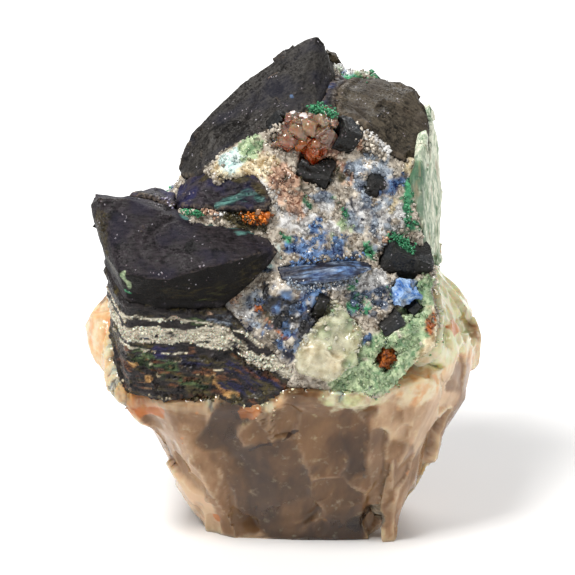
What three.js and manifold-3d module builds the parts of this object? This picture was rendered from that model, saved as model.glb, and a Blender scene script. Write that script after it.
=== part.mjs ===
// Cuprite specimen: a broken piece of vein quartz that carries a crust of copper minerals with large
// dark crystals, a cluster of red cuprite crystals and a fibrous malachite vein.
//
// Units are millimetres. +Z is up, -Y is the front, and the origin is on the flat foot under the
// middle of the specimen. Every piece is built from convex lumps, each the hull of a few corners, as
// broken stone and crystals are. Where two pieces meet, the later one in the list at the end is cut
// back from the earlier ones, which leaves a thin gap all round.
import * as THREE from "three";
import { ConvexGeometry } from "three/addons/geometries/ConvexGeometry.js";
import { mergeVertices } from "three/addons/utils/BufferGeometryUtils.js";
import Module from "manifold-3d";

// Driving dimensions.
const HALF_WIDTH = 17.8; // the widest points, the left shoulder and the right wing, from the middle
const HALF_DEPTH = 14; // the foremost edge and the rearmost bulge, from the middle
const TIP_HEIGHT = 44.6; // the tip of the blade crystal above the foot
const GAP = 0.3; // the gap that a piece keeps to its neighbour
const BEVEL = 0.3; // the share of a small crystal's half size that its corners lose
const SAME_POINT = 1e-4; // corners closer than this are one corner

const wasm = await Module();
wasm.setup();

// ---------------------------------------------------------------- making solids

// A closed solid from a geometry whose faces don't share their vertices.
function solidFrom(geometry) {
  geometry.deleteAttribute("normal");
  geometry.deleteAttribute("uv");
  const merged = mergeVertices(geometry, SAME_POINT);
  const mesh = new wasm.Mesh({
    numProp: 3,
    vertProperties: merged.attributes.position.array,
    triVerts: new Uint32Array(merged.index.array),
  });
  return new wasm.Manifold(mesh);
}

// The hull of some corners, each given as [x, y, z].
function hull(corners) {
  return solidFrom(new ConvexGeometry(corners.map((c) => new THREE.Vector3(...c))));
}

// The twelve directions in which a corner moves when its lump grows: the corners of an icosahedron.
const PHI = (1 + Math.sqrt(5)) / 2;
const DIRECTIONS = [-1, 1].flatMap((a) =>
  [-PHI, PHI].flatMap((b) => [
    [0, a, b],
    [a, b, 0],
    [b, 0, a],
  ]),
);
// An icosahedron's faces lie at this share of its corners' distance from its middle, so the corners have
// to reach further than 1 for a growth of 1 on every side.
const FACE_SHARE = 0.7947;
const REACH = 1 / FACE_SHARE / Math.hypot(1, PHI);

// The corners of a lump that is larger by the given amount all round.
function grow(corners, by) {
  return corners.flatMap((c) => DIRECTIONS.map((d) => c.map((value, i) => value + d[i] * by * REACH)));
}

// The solid of a piece, which is a list of lumps.
function join(lumps) {
  return lumps.map(hull).reduce((a, b) => a.add(b));
}

// The largest body of a solid, without the crumbs that a cut can leave.
function largest(solid) {
  return solid.decompose().reduce((a, b) => (a.volume() > b.volume() ? a : b));
}

// A piece with room made for its neighbours.
function carve(lumps, neighbours) {
  const cut = neighbours.flat().reduce((s, lump) => s.subtract(hull(grow(lump, GAP))), join(lumps));
  return largest(cut);
}

// A mesh's geometry from a solid.
function geometryOf(solid) {
  const { vertProperties, triVerts } = solid.getMesh();
  const geometry = new THREE.BufferGeometry();
  geometry.setAttribute("position", new THREE.BufferAttribute(vertProperties, 3));
  geometry.setIndex(new THREE.BufferAttribute(triVerts, 1));
  return geometry;
}

// The corners of a small blocky crystal: a box with its corners cut off, turned by three angles in degrees.
function crystal({ at, size, turn }) {
  const euler = new THREE.Euler(...turn.map(THREE.MathUtils.degToRad));
  const corners = [];
  for (const x of [-1, 1])
    for (const y of [-1, 1])
      for (const z of [-1, 1])
        for (const axis of [0, 1, 2]) {
          const corner = [x, y, z];
          corner[axis] *= 1 - BEVEL;
          const half = new THREE.Vector3(...corner.map((c, i) => (c * size[i]) / 2));
          corners.push(half.applyEuler(euler).add(new THREE.Vector3(...at)).toArray());
        }
  return corners;
}

// ---------------------------------------------------------------- large dark crystals

// The long blade that leans over the top left, with its tip as the specimen's highest point.
const blade = [
  [
    [-8.5, -3.6, 33.4], [-7.4, -4.2, 33.2], [-6.7, -4.6, 34.5], [-4, -4.8, 36.3], [-2.1, -4.6, 37.5],
    [0, -3.8, 39.1], [2.5, -2.8, 39.6], [-9.2, -2, 33], [-9.1, -1, 33.4], [-8.9, -0.2, 34.8],
    [-8.2, -0.2, 36.2], [-6.3, 0, 38.2], [-3.1, 1, 41], [0, 2, 43], [1.9, 2, 44.3],
    [2.9, 2, TIP_HEIGHT], [3.7, 2, 43.5], [4.1, 2, 41.4], [4.2, 1, 40], [-8.2, 2.4, 33.8],
    [-6.4, 3.6, 36], [-2, 4.6, 40.2], [2.6, 4.8, 42.6], [4.1, 4.8, 40.2], [-6, 3.6, 32],
    [0, 3.6, 35.5], [-4.5, -1, 32.6], [2.6, 1, 37],
  ],
];

// The broad head at the top right: a wide face that leans back over a dark undercut.
const head = [
  [
    [4.7, -2.9, 39.2], [7.1, -4.3, 38.6], [8.9, -4.9, 36.6], [10.6, -4.6, 35.5], [12.4, -2.4, 35.9],
    [12.6, -0.4, 37.1], [12.1, 0, 38.6], [11.5, 1, 39.7], [10.3, 2, 40.2], [8.6, 2, 40.1],
    [6, 1.6, 40.5], [4.8, -0.6, 40.3], [10.6, -3.4, 33.9], [9.1, -3.2, 34.9], [12.2, -1, 34.5],
    [11.8, 5.6, 37.8], [7, 7, 38.2], [5.6, 4, 36], [11.4, 5, 34.4],
  ],
];

// The saddle between the blade and the head.
const saddle = [
  [
    [2, -3.6, 38.9], [4.3, -4.2, 38.4], [6.3, -4.4, 38.2], [4.5, -1.4, 40], [5.6, 1.8, 40.4],
    [4, 1.6, 41.1], [2.4, -1, 39.2], [4.8, 3, 37], [6.4, -1, 36.6], [2.6, 0.5, 36.6],
  ],
];

// A thin crystal that stands behind the blade's tip.
const sliver = [
  [
    [3.7, 5.4, 42], [4.1, 5.4, 41.8], [4.6, 5.4, 41.5], [5, 5.5, 40.8], [5.6, 5.6, 39.6], [5.6, 5.6, 37.6],
    [3.2, 5.6, 38], [3.8, 7, 41.7], [4.6, 7.2, 41.1], [5.3, 7.2, 38], [3.2, 7.2, 38],
  ],
];

// The block at the left: a sloping face over an undercut, with a long side face.
const slab = [
  [
    [-17.1, -8, 32.4], [-16.3, -9, 33.4], [-13.7, -9, 33.3], [-11.8, -9.3, 32.5], [-17, -8, 31.4],
    [-15.7, -11, 28.8], [-14.7, -13, 28.1], [-13.8, -13.6, 28], [-12.1, -HALF_DEPTH, 27.8],
    [-10.3, -HALF_DEPTH, 27.7], [-13.8, -11.8, 25], [-10.6, -11.6, 24.2], [-8.3, -12, 29.6],
    [-8.3, -9.3, 31.1], [-16.8, -4.4, 32], [-16.4, -4.6, 28], [-15.8, -4.6, 25.4], [-9.2, -3, 30.2],
    [-9.2, -4, 24.6],
  ],
  [
    [-12, -10, 31.6], [-9.1, -9.6, 30.9], [-4, -9.6, 30.4], [-1.7, -10, 29.6], [-0.9, -10.4, 29],
    [-10.3, -HALF_DEPTH, 27.7], [-8.2, -13.8, 28.3], [-4.4, -13, 29.1], [-2.3, -11.9, 29.4],
    [-1.7, -11, 27.8], [-3.9, -11.2, 25.6], [-5.8, -11.2, 24], [-7.5, -11.2, 23.7],
    [-10.6, -11.6, 24.2], [-10.3, -4, 29.6], [-2.5, -5, 29], [-9.3, -4, 24.6], [-3.7, -5, 25.6],
  ],
];

// The dome behind the block, and the small crystal on the block's top.
const dome = [
  [
    [-9.3, -6.8, 31.6], [-9.4, -6.2, 32.4], [-8.7, -5.8, 33.3], [-7.5, -6, 34], [-5.6, -6.4, 34.4],
    [-4, -6.8, 34.4], [-3.1, -6.8, 34.6], [-2.4, -7.2, 34.4], [-1.8, -7.8, 33.5], [-1.5, -8.4, 32.8],
    [-1.6, -8.8, 32.3], [-5.3, -8.8, 32.4], [-8.8, -8.2, 32.3], [-9.2, -1, 31.2], [-8.8, 0.4, 29.4],
    [-8, -2, 33], [-3, -3, 34], [-2, -1, 32], [-2, -1, 29.4],
  ],
];
const hump = [
  [
    [-13.6, -6.6, 32.6], [-12.6, -4.6, 32.6], [-11.2, -4.2, 32.7], [-10, -4.6, 32], [-9.9, -6.6, 31.8],
    [-13.4, -7.6, 32.5], [-13.2, -1.8, 31], [-10.2, -1.2, 30.6], [-13.8, -4, 30.2], [-10.2, -4, 29.4],
  ],
];

// ---------------------------------------------------------------- the layered block and the veins

// The banded block under the sloping face, cut off by the same long side face.
const banded = [
  [
    [-14.5, -10.8, 24.5], [-13.8, -11.8, 24.5], [-10.3, -11.8, 24.1], [-5.8, -11.4, 23.7],
    [-13.7, -11.2, 15.8], [-13, -11.6, 16.4], [-10.7, -12, 15.5], [-7.6, -12.1, 16.2],
    [-15.8, -4.8, 25.8], [-15.7, -5, 22.4], [-15.3, -5, 18], [-14.6, -6.4, 14.6], [-5, -4, 23.5],
    [-6, -5, 16.4],
  ],
  [
    [-10.3, -11.8, 24.1], [-5.8, -11.4, 23.7], [-3.9, -12.2, 22.3], [-2, -12.4, 20.4], [0.5, -12.6, 18.2],
    [-0.8, -12.8, 16.4], [-3.1, -12.9, 15.4], [-7.6, -12.1, 16.2], [-6, -5, 23.4], [-1, -6, 18.4],
    [-6, -5, 16.4],
  ],
];

// The fibrous vein that walls the right side.
const sideVein = [
  [
    [11.9, -5.4, 36], [12.5, -1, 37.8], [12.8, 4, 37.2], [12.5, 8.2, 35.6], [11.9, -5.8, 31.6],
    [12.3, -6.2, 26.2], [13.5, 4, 34], [14, 4.6, 28.8], [13.9, 4.6, 22.2], [13.4, 8.8, 29.6],
    [13.2, 8.6, 21.8], [11.2, -4.6, 30.8], [11.4, -4.8, 26.4], [12, 0, 36.2], [11.6, 8, 35],
    [12.1, 8, 21.8], [12.1, 3, 22.2],
  ],
];

// A lens of azurite that runs across the front.
const azuriteLens = [
  [
    [-0.6, -10.6, 27.4], [-0.2, -11.3, 26.6], [1.9, -11.6, 26.2], [5.4, -11.2, 26.5], [8, -9.8, 27.1],
    [5.4, -10.4, 27.5], [1.9, -10.6, 27.7], [0.6, -8.6, 27], [6.8, -8, 27.2],
  ],
];

// ---------------------------------------------------------------- the small crystals

// The cuprite crystals have grown into each other, so they are one solid.
const cuprite = [
  crystal({ at: [1.2, -5.2, 38.7], size: [2.3, 1.9, 2.5], turn: [12, 24, 18] }),
  crystal({ at: [0, -5.4, 37.8], size: [1.4, 1.6, 2], turn: [-10, 30, -14] }),
  crystal({ at: [3.1, -5.4, 38.2], size: [1.9, 1.8, 2.1], turn: [28, -18, 36] }),
  crystal({ at: [2.5, -6, 37], size: [1.7, 1.7, 2], turn: [34, 8, 42] }),
  crystal({ at: [3.7, -4.9, 39.5], size: [1.3, 1.5, 1.3], turn: [16, 40, 8] }),
];

// The other small crystals each stand alone in the crust.
const SMALL_CRYSTALS = {
  black_crystal_by_cuprite: { at: [5.3, -4.8, 37.8], size: [1.9, 2.2, 2.5], turn: [10, 34, 22] },
  black_crystal_under_cuprite: { at: [2.7, -5.9, 35], size: [3, 2.2, 1.9], turn: [18, 18, -16] },
  black_crystal_left_of_cuprite: { at: [-0.6, -4.5, 38.6], size: [1.2, 2, 2], turn: [8, 32, 24] },
  black_crystal_on_right: { at: [7.9, -6, 33.5], size: [1.3, 1.5, 1.7], turn: [14, 38, 18] },
  corner_crystal: { at: [10.6, -6.8, 27.1], size: [4.4, 3.4, 2.6], turn: [14, 34, 12] },
  black_crystal_below: { at: [9.4, -10.6, 22.3], size: [2.2, 1.8, 1.3], turn: [12, -26, 20] },
  black_chip_below: { at: [11.4, -9.2, 23.1], size: [1.2, 1.4, 0.9], turn: [12, -34, 24] },
  vein_crystal: { at: [3.1, -10.8, 24.1], size: [1.2, 1.6, 2], turn: [10, 28, 12] },
  rust_crystal: { at: [8.9, -11.6, 19.4], size: [1.6, 1.8, 1.8], turn: [18, 40, 10], colour: "rust" },
  blue_crystal: { at: [10.7, -9.3, 24.5], size: [2.2, 1.8, 1.8], turn: [16, 28, 20], colour: "azurite" },
  back_crystal_left: { at: [-5.4, 8.6, 28.6], size: [6.4, 5, 5], turn: [-14, 16, 20] },
  back_crystal_right: { at: [5, 9.6, 28], size: [4.6, 4.2, 6], turn: [-10, -16, -14] },
  back_crystal_low: { at: [-1.2, 11.2, 23.6], size: [3.2, 3, 2.8], turn: [-16, 30, 10] },
};

// ---------------------------------------------------------------- crust and quartz

// A pale lump of milky quartz in the lower front.
const milkyLump = [
  [
    [1.5, -12.2, 21.1], [4.3, -11.2, 24.5], [6.6, -11.8, 21.9], [6.4, -12.6, 19.2], [3.9, -13, 18.2],
    [1.5, -12.9, 18.9], [2.5, -13.1, 20], [5.2, -12.6, 21.2], [2, -9, 19.6], [6.1, -9, 19.6],
    [4.5, -9, 23.5],
  ],
];

// The crust that the crystals sit in: an upper block, a lower front, a back that narrows downwards and a
// ridge that shows between the blade and the head.
const crust = [
  [
    [-6.5, -5, 33.8], [-5, -5.4, 36], [-4.2, -5.4, 36.8], [-2.1, -5.2, 37.8], [1, -4.2, 39],
    [4.5, -3.4, 39.5], [8.1, -3.4, 37.6], [-8.8, -8.2, 32], [-1.6, -8.8, 32],
    [11.6, -4.2, 35.1], [12.2, -1, 35.8], [12, 6, 36], [6.6, 7.6, 37.6], [3.4, 6.6, 38.6], [-3, 5, 36.6],
    [-8.4, -2.4, 32.8], [-7.2, 3.4, 32.2], [-9, -8, 30.6], [-1, -9, 30], [0.4, -10.6, 26.5],
    [12.2, -6.6, 27.6], [13, -6, 24.5], [12.8, 7, 23.5], [-14, -3, 24.6],
  ],
  [
    [-1, -7.6, 31], [12.3, -6.6, 28], [0, -11.2, 26.5], [12.8, -8.2, 23.5], [-4.1, -12.2, 22.1],
    [0.6, -12.7, 17.6], [3.1, -12.6, 17.2], [5.8, -12.5, 16.9], [8.5, -12.5, 16.3], [10.3, -12.2, 17.8],
    [13, -11, 20.2], [13.4, -9.6, 21.9], [-12, -11, 17.4], [-6, -11.8, 16], [13, 0, 19.6], [-12, 0, 17.6],
  ],
  [
    [-14.4, -2, 20], [-14.8, -2, 25.6], [-13.4, 3, 26.6], [-9.4, 7.6, 27.2], [-6.8, 6.6, 31],
    [-2, 8.8, 33], [6, 9, 33.4], [11.8, 8, 32], [12.9, 8.2, 23], [9.6, 9.8, 19.4], [-2, 11, 19.4],
    [-11.6, 7.8, 19], [0, -4, 18], [-3, 5.6, 36],
  ],
  [
    [4.2, 4.2, 40.9], [5.6, 4, 40.7], [6.7, 3.6, 40.5], [8, 3, 40.3], [9.4, 2.6, 40], [4.4, 2, 40.2],
    [6, 1.4, 40], [4.4, 5, 39.8], [9, 4, 39.4], [4.6, 5, 37.6], [9, 5, 37.6], [5, 0, 37.6],
  ],
];

// The quartz: pillars that narrow towards the foot, a leg, two shoulders and a back that rises
// round the crust.
const quartz = [
  // left pillar
  [
    [-7.2, -6, 0], [-4.4, -7.6, 0], [-3, -2, 0], [-7.4, 1.6, 0], [-9.4, -4, 2.5], [-9, 1.4, 3],
    [-10.1, -4, 4.5], [-11.2, -5, 8.9], [-9.4, -8.8, 9], [-6, -10.3, 9.6], [-11, 2.4, 9],
    [-13.4, -6.5, 13.4], [-13.4, -9, 14.4], [-10.6, -11.7, 14.8], [-6.6, -12.2, 15], [-13.4, 2, 13.6],
    [-11.4, 6, 14], [-4, -4, 15],
  ],
  // middle
  [
    [-4.8, -7.4, 0], [1.6, -8, 0], [7.4, -7.8, 0], [7.8, 3.4, 0], [1, 7.6, 0], [-6, 5, 0], [-6, -10.3, 9.6],
    [0.4, -11.2, 9.4], [6.4, -10.8, 9.2], [9.4, 8, 9], [0.4, 11.4, 9], [-9, 7.8, 9], [-7, -12, 14.8],
    [-3, -12.8, 15], [0.6, -12.8, 16.6], [7, -12.6, 15.9], [11, 10.4, 16], [0.6, HALF_DEPTH, 16],
    [-9.4, 11, 16],
  ],
  // right pillar
  [
    [7, -7.6, 0], [8.8, -4.8, 0], [8.6, 2.6, 0], [7, -10.7, 9], [10.6, -9.8, 9.2], [14.1, -3, 9],
    [13, 4, 8.6], [7.2, -12.6, 15.9], [12.2, -11.4, 16.9], [14.6, -9, 17.4], [16.1, -2, 11.4],
    [17.1, 0, 13.8], [14.8, 7.6, 13.6], [10, 9.4, 16],
  ],
  // leg
  [
    [8.9, -8.4, 0], [9.7, -8.2, 0], [9.6, -7.2, 0], [8.8, -7.2, 0], [8.4, -8.7, 1.8], [8.6, -9.2, 4],
    [11, -6.2, 2], [12, -5, 3.4], [12.9, -4, 5.2], [13.6, -3, 6.2], [9.6, -10.2, 9.2], [14.1, -3.4, 9],
    [9, -5, 4.6], [11, -3, 8],
  ],
  // left shoulder
  [
    [-HALF_WIDTH, -1, 18], [-17.2, -1.6, 19.4], [-17.4, -2, 16.5], [-16, -4, 14], [-14.4, -8.6, 14.4],
    [-14.4, -8, 17], [-17, 3, 17.2], [-14.8, 6.6, 15.6], [-14.6, 5, 20.4], [-15.6, -1.4, 20.8],
    [-13.4, -3, 12.6], [-12.4, 4.6, 11], [-10, 6.6, 9.6], [-9, -4, 16], [-10, 4, 20.4], [-10.6, 1, 9],
  ],
  // right wing
  [
    [HALF_WIDTH, 2, 15.8], [17.4, 2.2, 17], [16.4, 3, 18.4], [15.1, 3, 19.9], [14, 3.6, 21.6],
    [13.5, -6, 22.8], [13.9, -9.2, 20.6], [13, -10.9, 19.4], [14.6, -9, 17.4], [17.1, 0, 13.8],
    [15.8, 8.2, 16], [14.2, 8.6, 13], [13.6, 8.8, 21.4], [12.6, 2, 23], [12.6, 8, 23], [10, 0, 16],
    [10, 8, 18], [12.6, 2, 9.6], [12.8, 6.4, 10],
  ],
  // back
  [
    [-14.4, 4.6, 14.6], [-9.4, 11, 16], [0.6, HALF_DEPTH, 16], [11, 10.4, 16], [14.8, 7.6, 13.6],
    [-14.2, 5, 20.4], [-9, 9.6, 21], [0, 12.6, 21.4], [10, 10.8, 21.2], [13.8, 8.6, 21.6],
    [-9, 4, 12], [10, 4, 12], [0, 4, 20],
  ],
];

// ---------------------------------------------------------------- the pieces as meshes

const COLOURS = {
  dark: { color: 0x3d3a39, roughness: 0.5, metalness: 0.1 },
  banded: { color: 0x6b645a, roughness: 0.7, metalness: 0 },
  malachite: { color: 0xa9c49b, roughness: 0.7, metalness: 0 },
  azurite: { color: 0x2f4f8c, roughness: 0.5, metalness: 0 },
  cuprite: { color: 0xa3512c, roughness: 0.2, metalness: 0 },
  rust: { color: 0x99591f, roughness: 0.6, metalness: 0 },
  crust: { color: 0xa3a196, roughness: 0.7, metalness: 0 },
  milky: { color: 0xcfc9b2, roughness: 0.4, metalness: 0 },
  quartz: { color: 0xa98667, roughness: 0.25, metalness: 0 },
};

// Each piece's name, lumps and colour. A piece is cut back from every piece before it.
const PIECES = [
  ["blade_crystal", blade, "dark"],
  ["head_crystal", head, "dark"],
  ["slab_crystal", slab, "dark"],
  ["saddle_crystal", saddle, "dark"],
  ["sliver_crystal", sliver, "dark"],
  ["dome_crystal", dome, "dark"],
  ["hump_crystal", hump, "dark"],
  ["banded_block", banded, "banded"],
  ["cuprite_cluster", cuprite, "cuprite"],
  ...Object.entries(SMALL_CRYSTALS).map(([name, shape]) => [name, [crystal(shape)], shape.colour ?? "dark"]),
  ["side_vein", sideVein, "malachite"],
  ["azurite_lens", azuriteLens, "azurite"],
  ["milky_lump", milkyLump, "milky"],
  ["mineral_crust", crust, "crust"],
  ["quartz_base", quartz, "quartz"],
];

const specimen = new THREE.Group();
PIECES.forEach(([name, lumps, colour], i) => {
  const neighbours = PIECES.slice(0, i).map((piece) => piece[1]);
  const material = new THREE.MeshStandardMaterial(COLOURS[colour]);
  const mesh = new THREE.Mesh(geometryOf(carve(lumps, neighbours)), material);
  mesh.name = name;
  specimen.add(mesh);
});

export default specimen;
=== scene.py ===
"""The looks of the cuprite specimen: fine surfaces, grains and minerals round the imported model.

Every rock piece is its CAD solid remeshed finely and then worked point by point, so that facets, flakes
and creases are in the mesh. The sugary crust has thousands of small crystals in three more meshes. Where
a mineral lies is a mask on the mesh's points, from 0 to 1, and the materials' nodes turn the masks into
grains and streaks. Lengths are millimetres up to the moment something is made in Blender, which works in
metres. +X is right, -Y is the front and +Z is up. Colours are sRGB, from 0 to 255.
"""
import math

import bmesh
import bpy
import numpy as np
from mathutils import Matrix, Vector
from mathutils.bvhtree import BVHTree


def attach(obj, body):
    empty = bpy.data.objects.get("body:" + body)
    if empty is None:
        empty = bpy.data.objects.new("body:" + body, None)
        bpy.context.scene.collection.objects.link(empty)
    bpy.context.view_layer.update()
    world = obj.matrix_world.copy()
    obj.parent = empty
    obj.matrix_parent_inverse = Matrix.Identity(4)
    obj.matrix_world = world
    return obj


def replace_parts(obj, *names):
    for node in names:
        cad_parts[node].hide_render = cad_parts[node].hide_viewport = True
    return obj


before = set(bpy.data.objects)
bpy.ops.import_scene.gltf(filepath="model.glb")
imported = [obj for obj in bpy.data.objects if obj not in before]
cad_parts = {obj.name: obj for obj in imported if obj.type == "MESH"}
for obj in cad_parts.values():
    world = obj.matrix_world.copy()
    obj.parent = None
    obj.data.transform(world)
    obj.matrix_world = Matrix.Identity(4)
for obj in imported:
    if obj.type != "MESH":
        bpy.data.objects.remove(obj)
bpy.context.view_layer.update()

MM = 0.001

# ---------------------------------------------------------------- camera, light and floor

ELEVATION = 22
DISTANCE = 670
FIELD = 51.75  # what the frame takes in from side to side, at the aim
AIM = (0.225, 0, 21.3)
SENSOR = 36
FLOOR = 8000  # from side to side
FLOOR_GREY = 0.87
GLOW = (0.24, 1.0)  # the world's strength, for the rock and for the camera


def link(obj):
    """Puts an object in the scene."""
    bpy.context.scene.collection.objects.link(obj)
    return obj


def make_camera():
    data = bpy.data.cameras.new("camera")
    data.sensor_width = SENSOR
    data.lens = SENSOR * DISTANCE / FIELD
    camera = link(bpy.data.objects.new("camera", data))
    tilt = math.radians(ELEVATION)
    away = Vector((0, -math.cos(tilt), math.sin(tilt))) * DISTANCE
    camera.location = (Vector(AIM) + away) * MM
    camera.rotation_euler = (math.pi / 2 - tilt, 0, 0)
    bpy.context.scene.camera = camera


def lamp(name, at, size, watts, colour=(1, 1, 1)):
    """A square soft lamp, aimed at the middle of the specimen."""
    data = bpy.data.lights.new(name, "AREA")
    data.size = size * MM
    data.energy = watts
    data.color = colour
    obj = link(bpy.data.objects.new(name, data))
    obj.location = Vector(at) * MM
    obj.rotation_euler = (Vector(AIM) - Vector(at)).to_track_quat("-Z", "Y").to_euler()


def make_light():
    lamp("key", (-240, -200, 560), 200, 4.6, (1, 0.985, 0.96))
    lamp("side", (460, -160, 200), 220, 0.7)
    lamp("back", (60, 460, 380), 300, 2.2)
    world = bpy.data.worlds.new("studio")
    world.use_nodes = True
    tree = world.node_tree
    seen = tree.nodes.new("ShaderNodeLightPath").outputs["Is Camera Ray"]
    glow = tree.nodes.new("ShaderNodeMapRange")
    tree.links.new(seen, glow.inputs["Value"])
    glow.inputs["To Min"].default_value, glow.inputs["To Max"].default_value = GLOW
    tree.links.new(glow.outputs["Result"], tree.nodes["Background"].inputs["Strength"])
    tree.nodes["Background"].inputs["Color"].default_value = (1, 1, 1, 1)
    bpy.context.scene.world = world
    bpy.context.scene.view_settings.view_transform = "Standard"


def make_floor():
    half = FLOOR / 2 * MM
    mesh = bpy.data.meshes.new("floor")
    corners = [(-half, -half, 0), (half, -half, 0), (half, half, 0), (-half, half, 0)]
    mesh.from_pydata(corners, [], [(0, 1, 2, 3)])
    floor = link(bpy.data.objects.new("floor", mesh))
    material = bpy.data.materials.new("floor")
    material.use_nodes = True
    shader = material.node_tree.nodes["Principled BSDF"]
    shader.inputs["Base Color"].default_value = (FLOOR_GREY, FLOOR_GREY, FLOOR_GREY, 1)
    shader.inputs["Roughness"].default_value = 0.6
    mesh.materials.append(material)


# ---------------------------------------------------------------- noise and shapes, as arrays of points

HASH = 0x45D9F3B
WORD = 0xFFFFFFFF
PRIMES = (73856093, 19349663, 83492791, 2654435761)
OCTAVE_TURN = np.array(Matrix.Rotation(1.1, 3, Vector((1, 2, 3)).normalized()))


def hashed(cell, seed):
    """A random number from 0 to 1 for each whole-number cell."""
    h = cell[..., 0] * PRIMES[0] ^ cell[..., 1] * PRIMES[1] ^ cell[..., 2] * PRIMES[2] ^ seed * PRIMES[3]
    h = h & WORD
    for _ in range(2):
        h = ((h ^ (h >> 16)) * HASH) & WORD
    return (h ^ (h >> 16)) / WORD


def noise(points, size, seed):
    """Smooth noise from -1 to 1, with lumps of about the given size."""
    place = points / size
    cell = np.floor(place).astype(np.int64)
    t = place - cell
    t = t * t * t * (t * (t * 6 - 15) + 10)
    total = 0
    for corner in np.ndindex(2, 2, 2):
        weight = np.prod(np.where(corner, t, 1 - t), axis=1)
        total = total + weight * hashed(cell + corner, seed)
    return total * 2 - 1


def layered(points, size, seed, octaves=4):
    """Noise with finer and finer lumps."""
    total, share = 0, 0
    for i in range(octaves):
        total = total + noise(points, np.divide(size, 2**i), seed + i) / 2**i
        share += 1 / 2**i
        points = points @ OCTAVE_TURN if np.isscalar(size) else points
    return total / share


def warped(points, size, amount, seed):
    """The points moved about by noise."""
    return points + amount * np.stack([noise(points, size, seed + i) for i in range(3)], 1)


def drawn_out(points, axis, times):
    """The points squeezed along an axis, so that noise on them runs in streaks along it."""
    axis = np.array(axis) / np.linalg.norm(axis)
    return points - (1 - 1 / times) * (points @ axis)[:, None] * axis


def rise(value, low, high):
    """A smooth step from 0 at low to 1 at high."""
    t = np.clip((value - low) / (high - low), 0, 1)
    return t * t * (3 - 2 * t)


def distance(points, line):
    """How far each point is from a line through some places, or from one place."""
    line = np.array(line, float)
    if len(line) == 1:
        return np.linalg.norm(points - line[0], axis=1)
    best = np.full(len(points), 1e9)
    for a, b in zip(line, line[1:]):
        t = np.clip((points - a) @ (b - a) / ((b - a) @ (b - a)), 0, 1)
        best = np.minimum(best, np.linalg.norm(points - a - t[:, None] * (b - a), axis=1))
    return best


def painted(points, strokes, ragged=0.3):
    """The mask of some strokes, each (half width, strength, places), with soft and ragged borders."""
    moved = warped(points, 1.1, ragged, 71)
    mask = np.zeros(len(points))
    for width, strength, line in strokes:
        mask = np.maximum(mask, strength * rise(distance(moved, line), 1.5 * width, 0.55 * width))
    return mask


def random_turns(rng, count):
    """Some random rotation matrices."""
    turns = np.linalg.qr(rng.normal(size=(count, 3, 3)))[0]
    return turns * np.linalg.det(turns)[:, None, None]


def surfaces(left_out):
    """The surfaces of all the CAD nodes but one, to measure distances to."""
    places, faces = [], []
    for name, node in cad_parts.items():
        if name != left_out:
            faces += [[v + len(places) for v in face.vertices] for face in node.data.polygons]
            places += [vertex.co / MM for vertex in node.data.vertices]
    return BVHTree.FromPolygons(places, faces)


def heights(points, tree):
    """How far each point is above a tree's surfaces: negative inside a solid."""
    far = np.empty(len(points))
    for i, point in enumerate(points.tolist()):
        place, normal, _, away = tree.find_nearest(point)
        far[i] = away if (Vector(point) - place).dot(normal) >= 0 else -away
    return far


# ---------------------------------------------------------------- the surface of a piece

BRIDGE = 0.3  # how much further a skin reaches where it faces a neighbour across the CAD's gap
NEAR, FAR = 0.45, 1.2  # a skin reaches fully for a neighbour this near, and not for one this far
FILLED = 0.98  # the share of the remesher's grid that a piece may take up
KEEP = 0.3  # working a skin moves no point by more than this share of the thickness under it


def build_mesh(name, points, faces, masks, smooth):
    """A Blender mesh of faces with the same number of sides, with the masks as its points' attributes."""
    mesh = bpy.data.meshes.new(name)
    mesh.vertices.add(len(points))
    mesh.vertices.foreach_set("co", (points * MM).ravel())
    mesh.loops.add(faces.size)
    mesh.loops.foreach_set("vertex_index", faces.ravel())
    mesh.polygons.add(len(faces))
    mesh.polygons.foreach_set("loop_start", np.arange(0, faces.size, faces.shape[1]))
    mesh.update(calc_edges=True)
    if smooth:
        mesh.shade_smooth()
    for key, mask in masks.items():
        layer = mesh.attributes.new(key, "FLOAT", "POINT")
        layer.data.foreach_set("value", np.asarray(mask, np.float32))
    return mesh


def add_piece(name, mesh, material):
    """Puts a finished piece in the scene, riding with the rock."""
    mesh.materials.append(material)
    piece = link(bpy.data.objects.new(name, mesh))
    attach(piece, "root")
    return piece


BLEND = 0.12  # how far a facet's tone runs into the next one's, as a share of its width
CHANCE_TONES = (0.6, 0.85)  # the tones of the facets that aren't stated
SUNK = 0.1  # how far the facets lie below the solid's surface in the mean
STAND_OUT = 0.18  # and how far above it they may come
FOOT = 2.5  # the height over which they fade in above the foot


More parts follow.
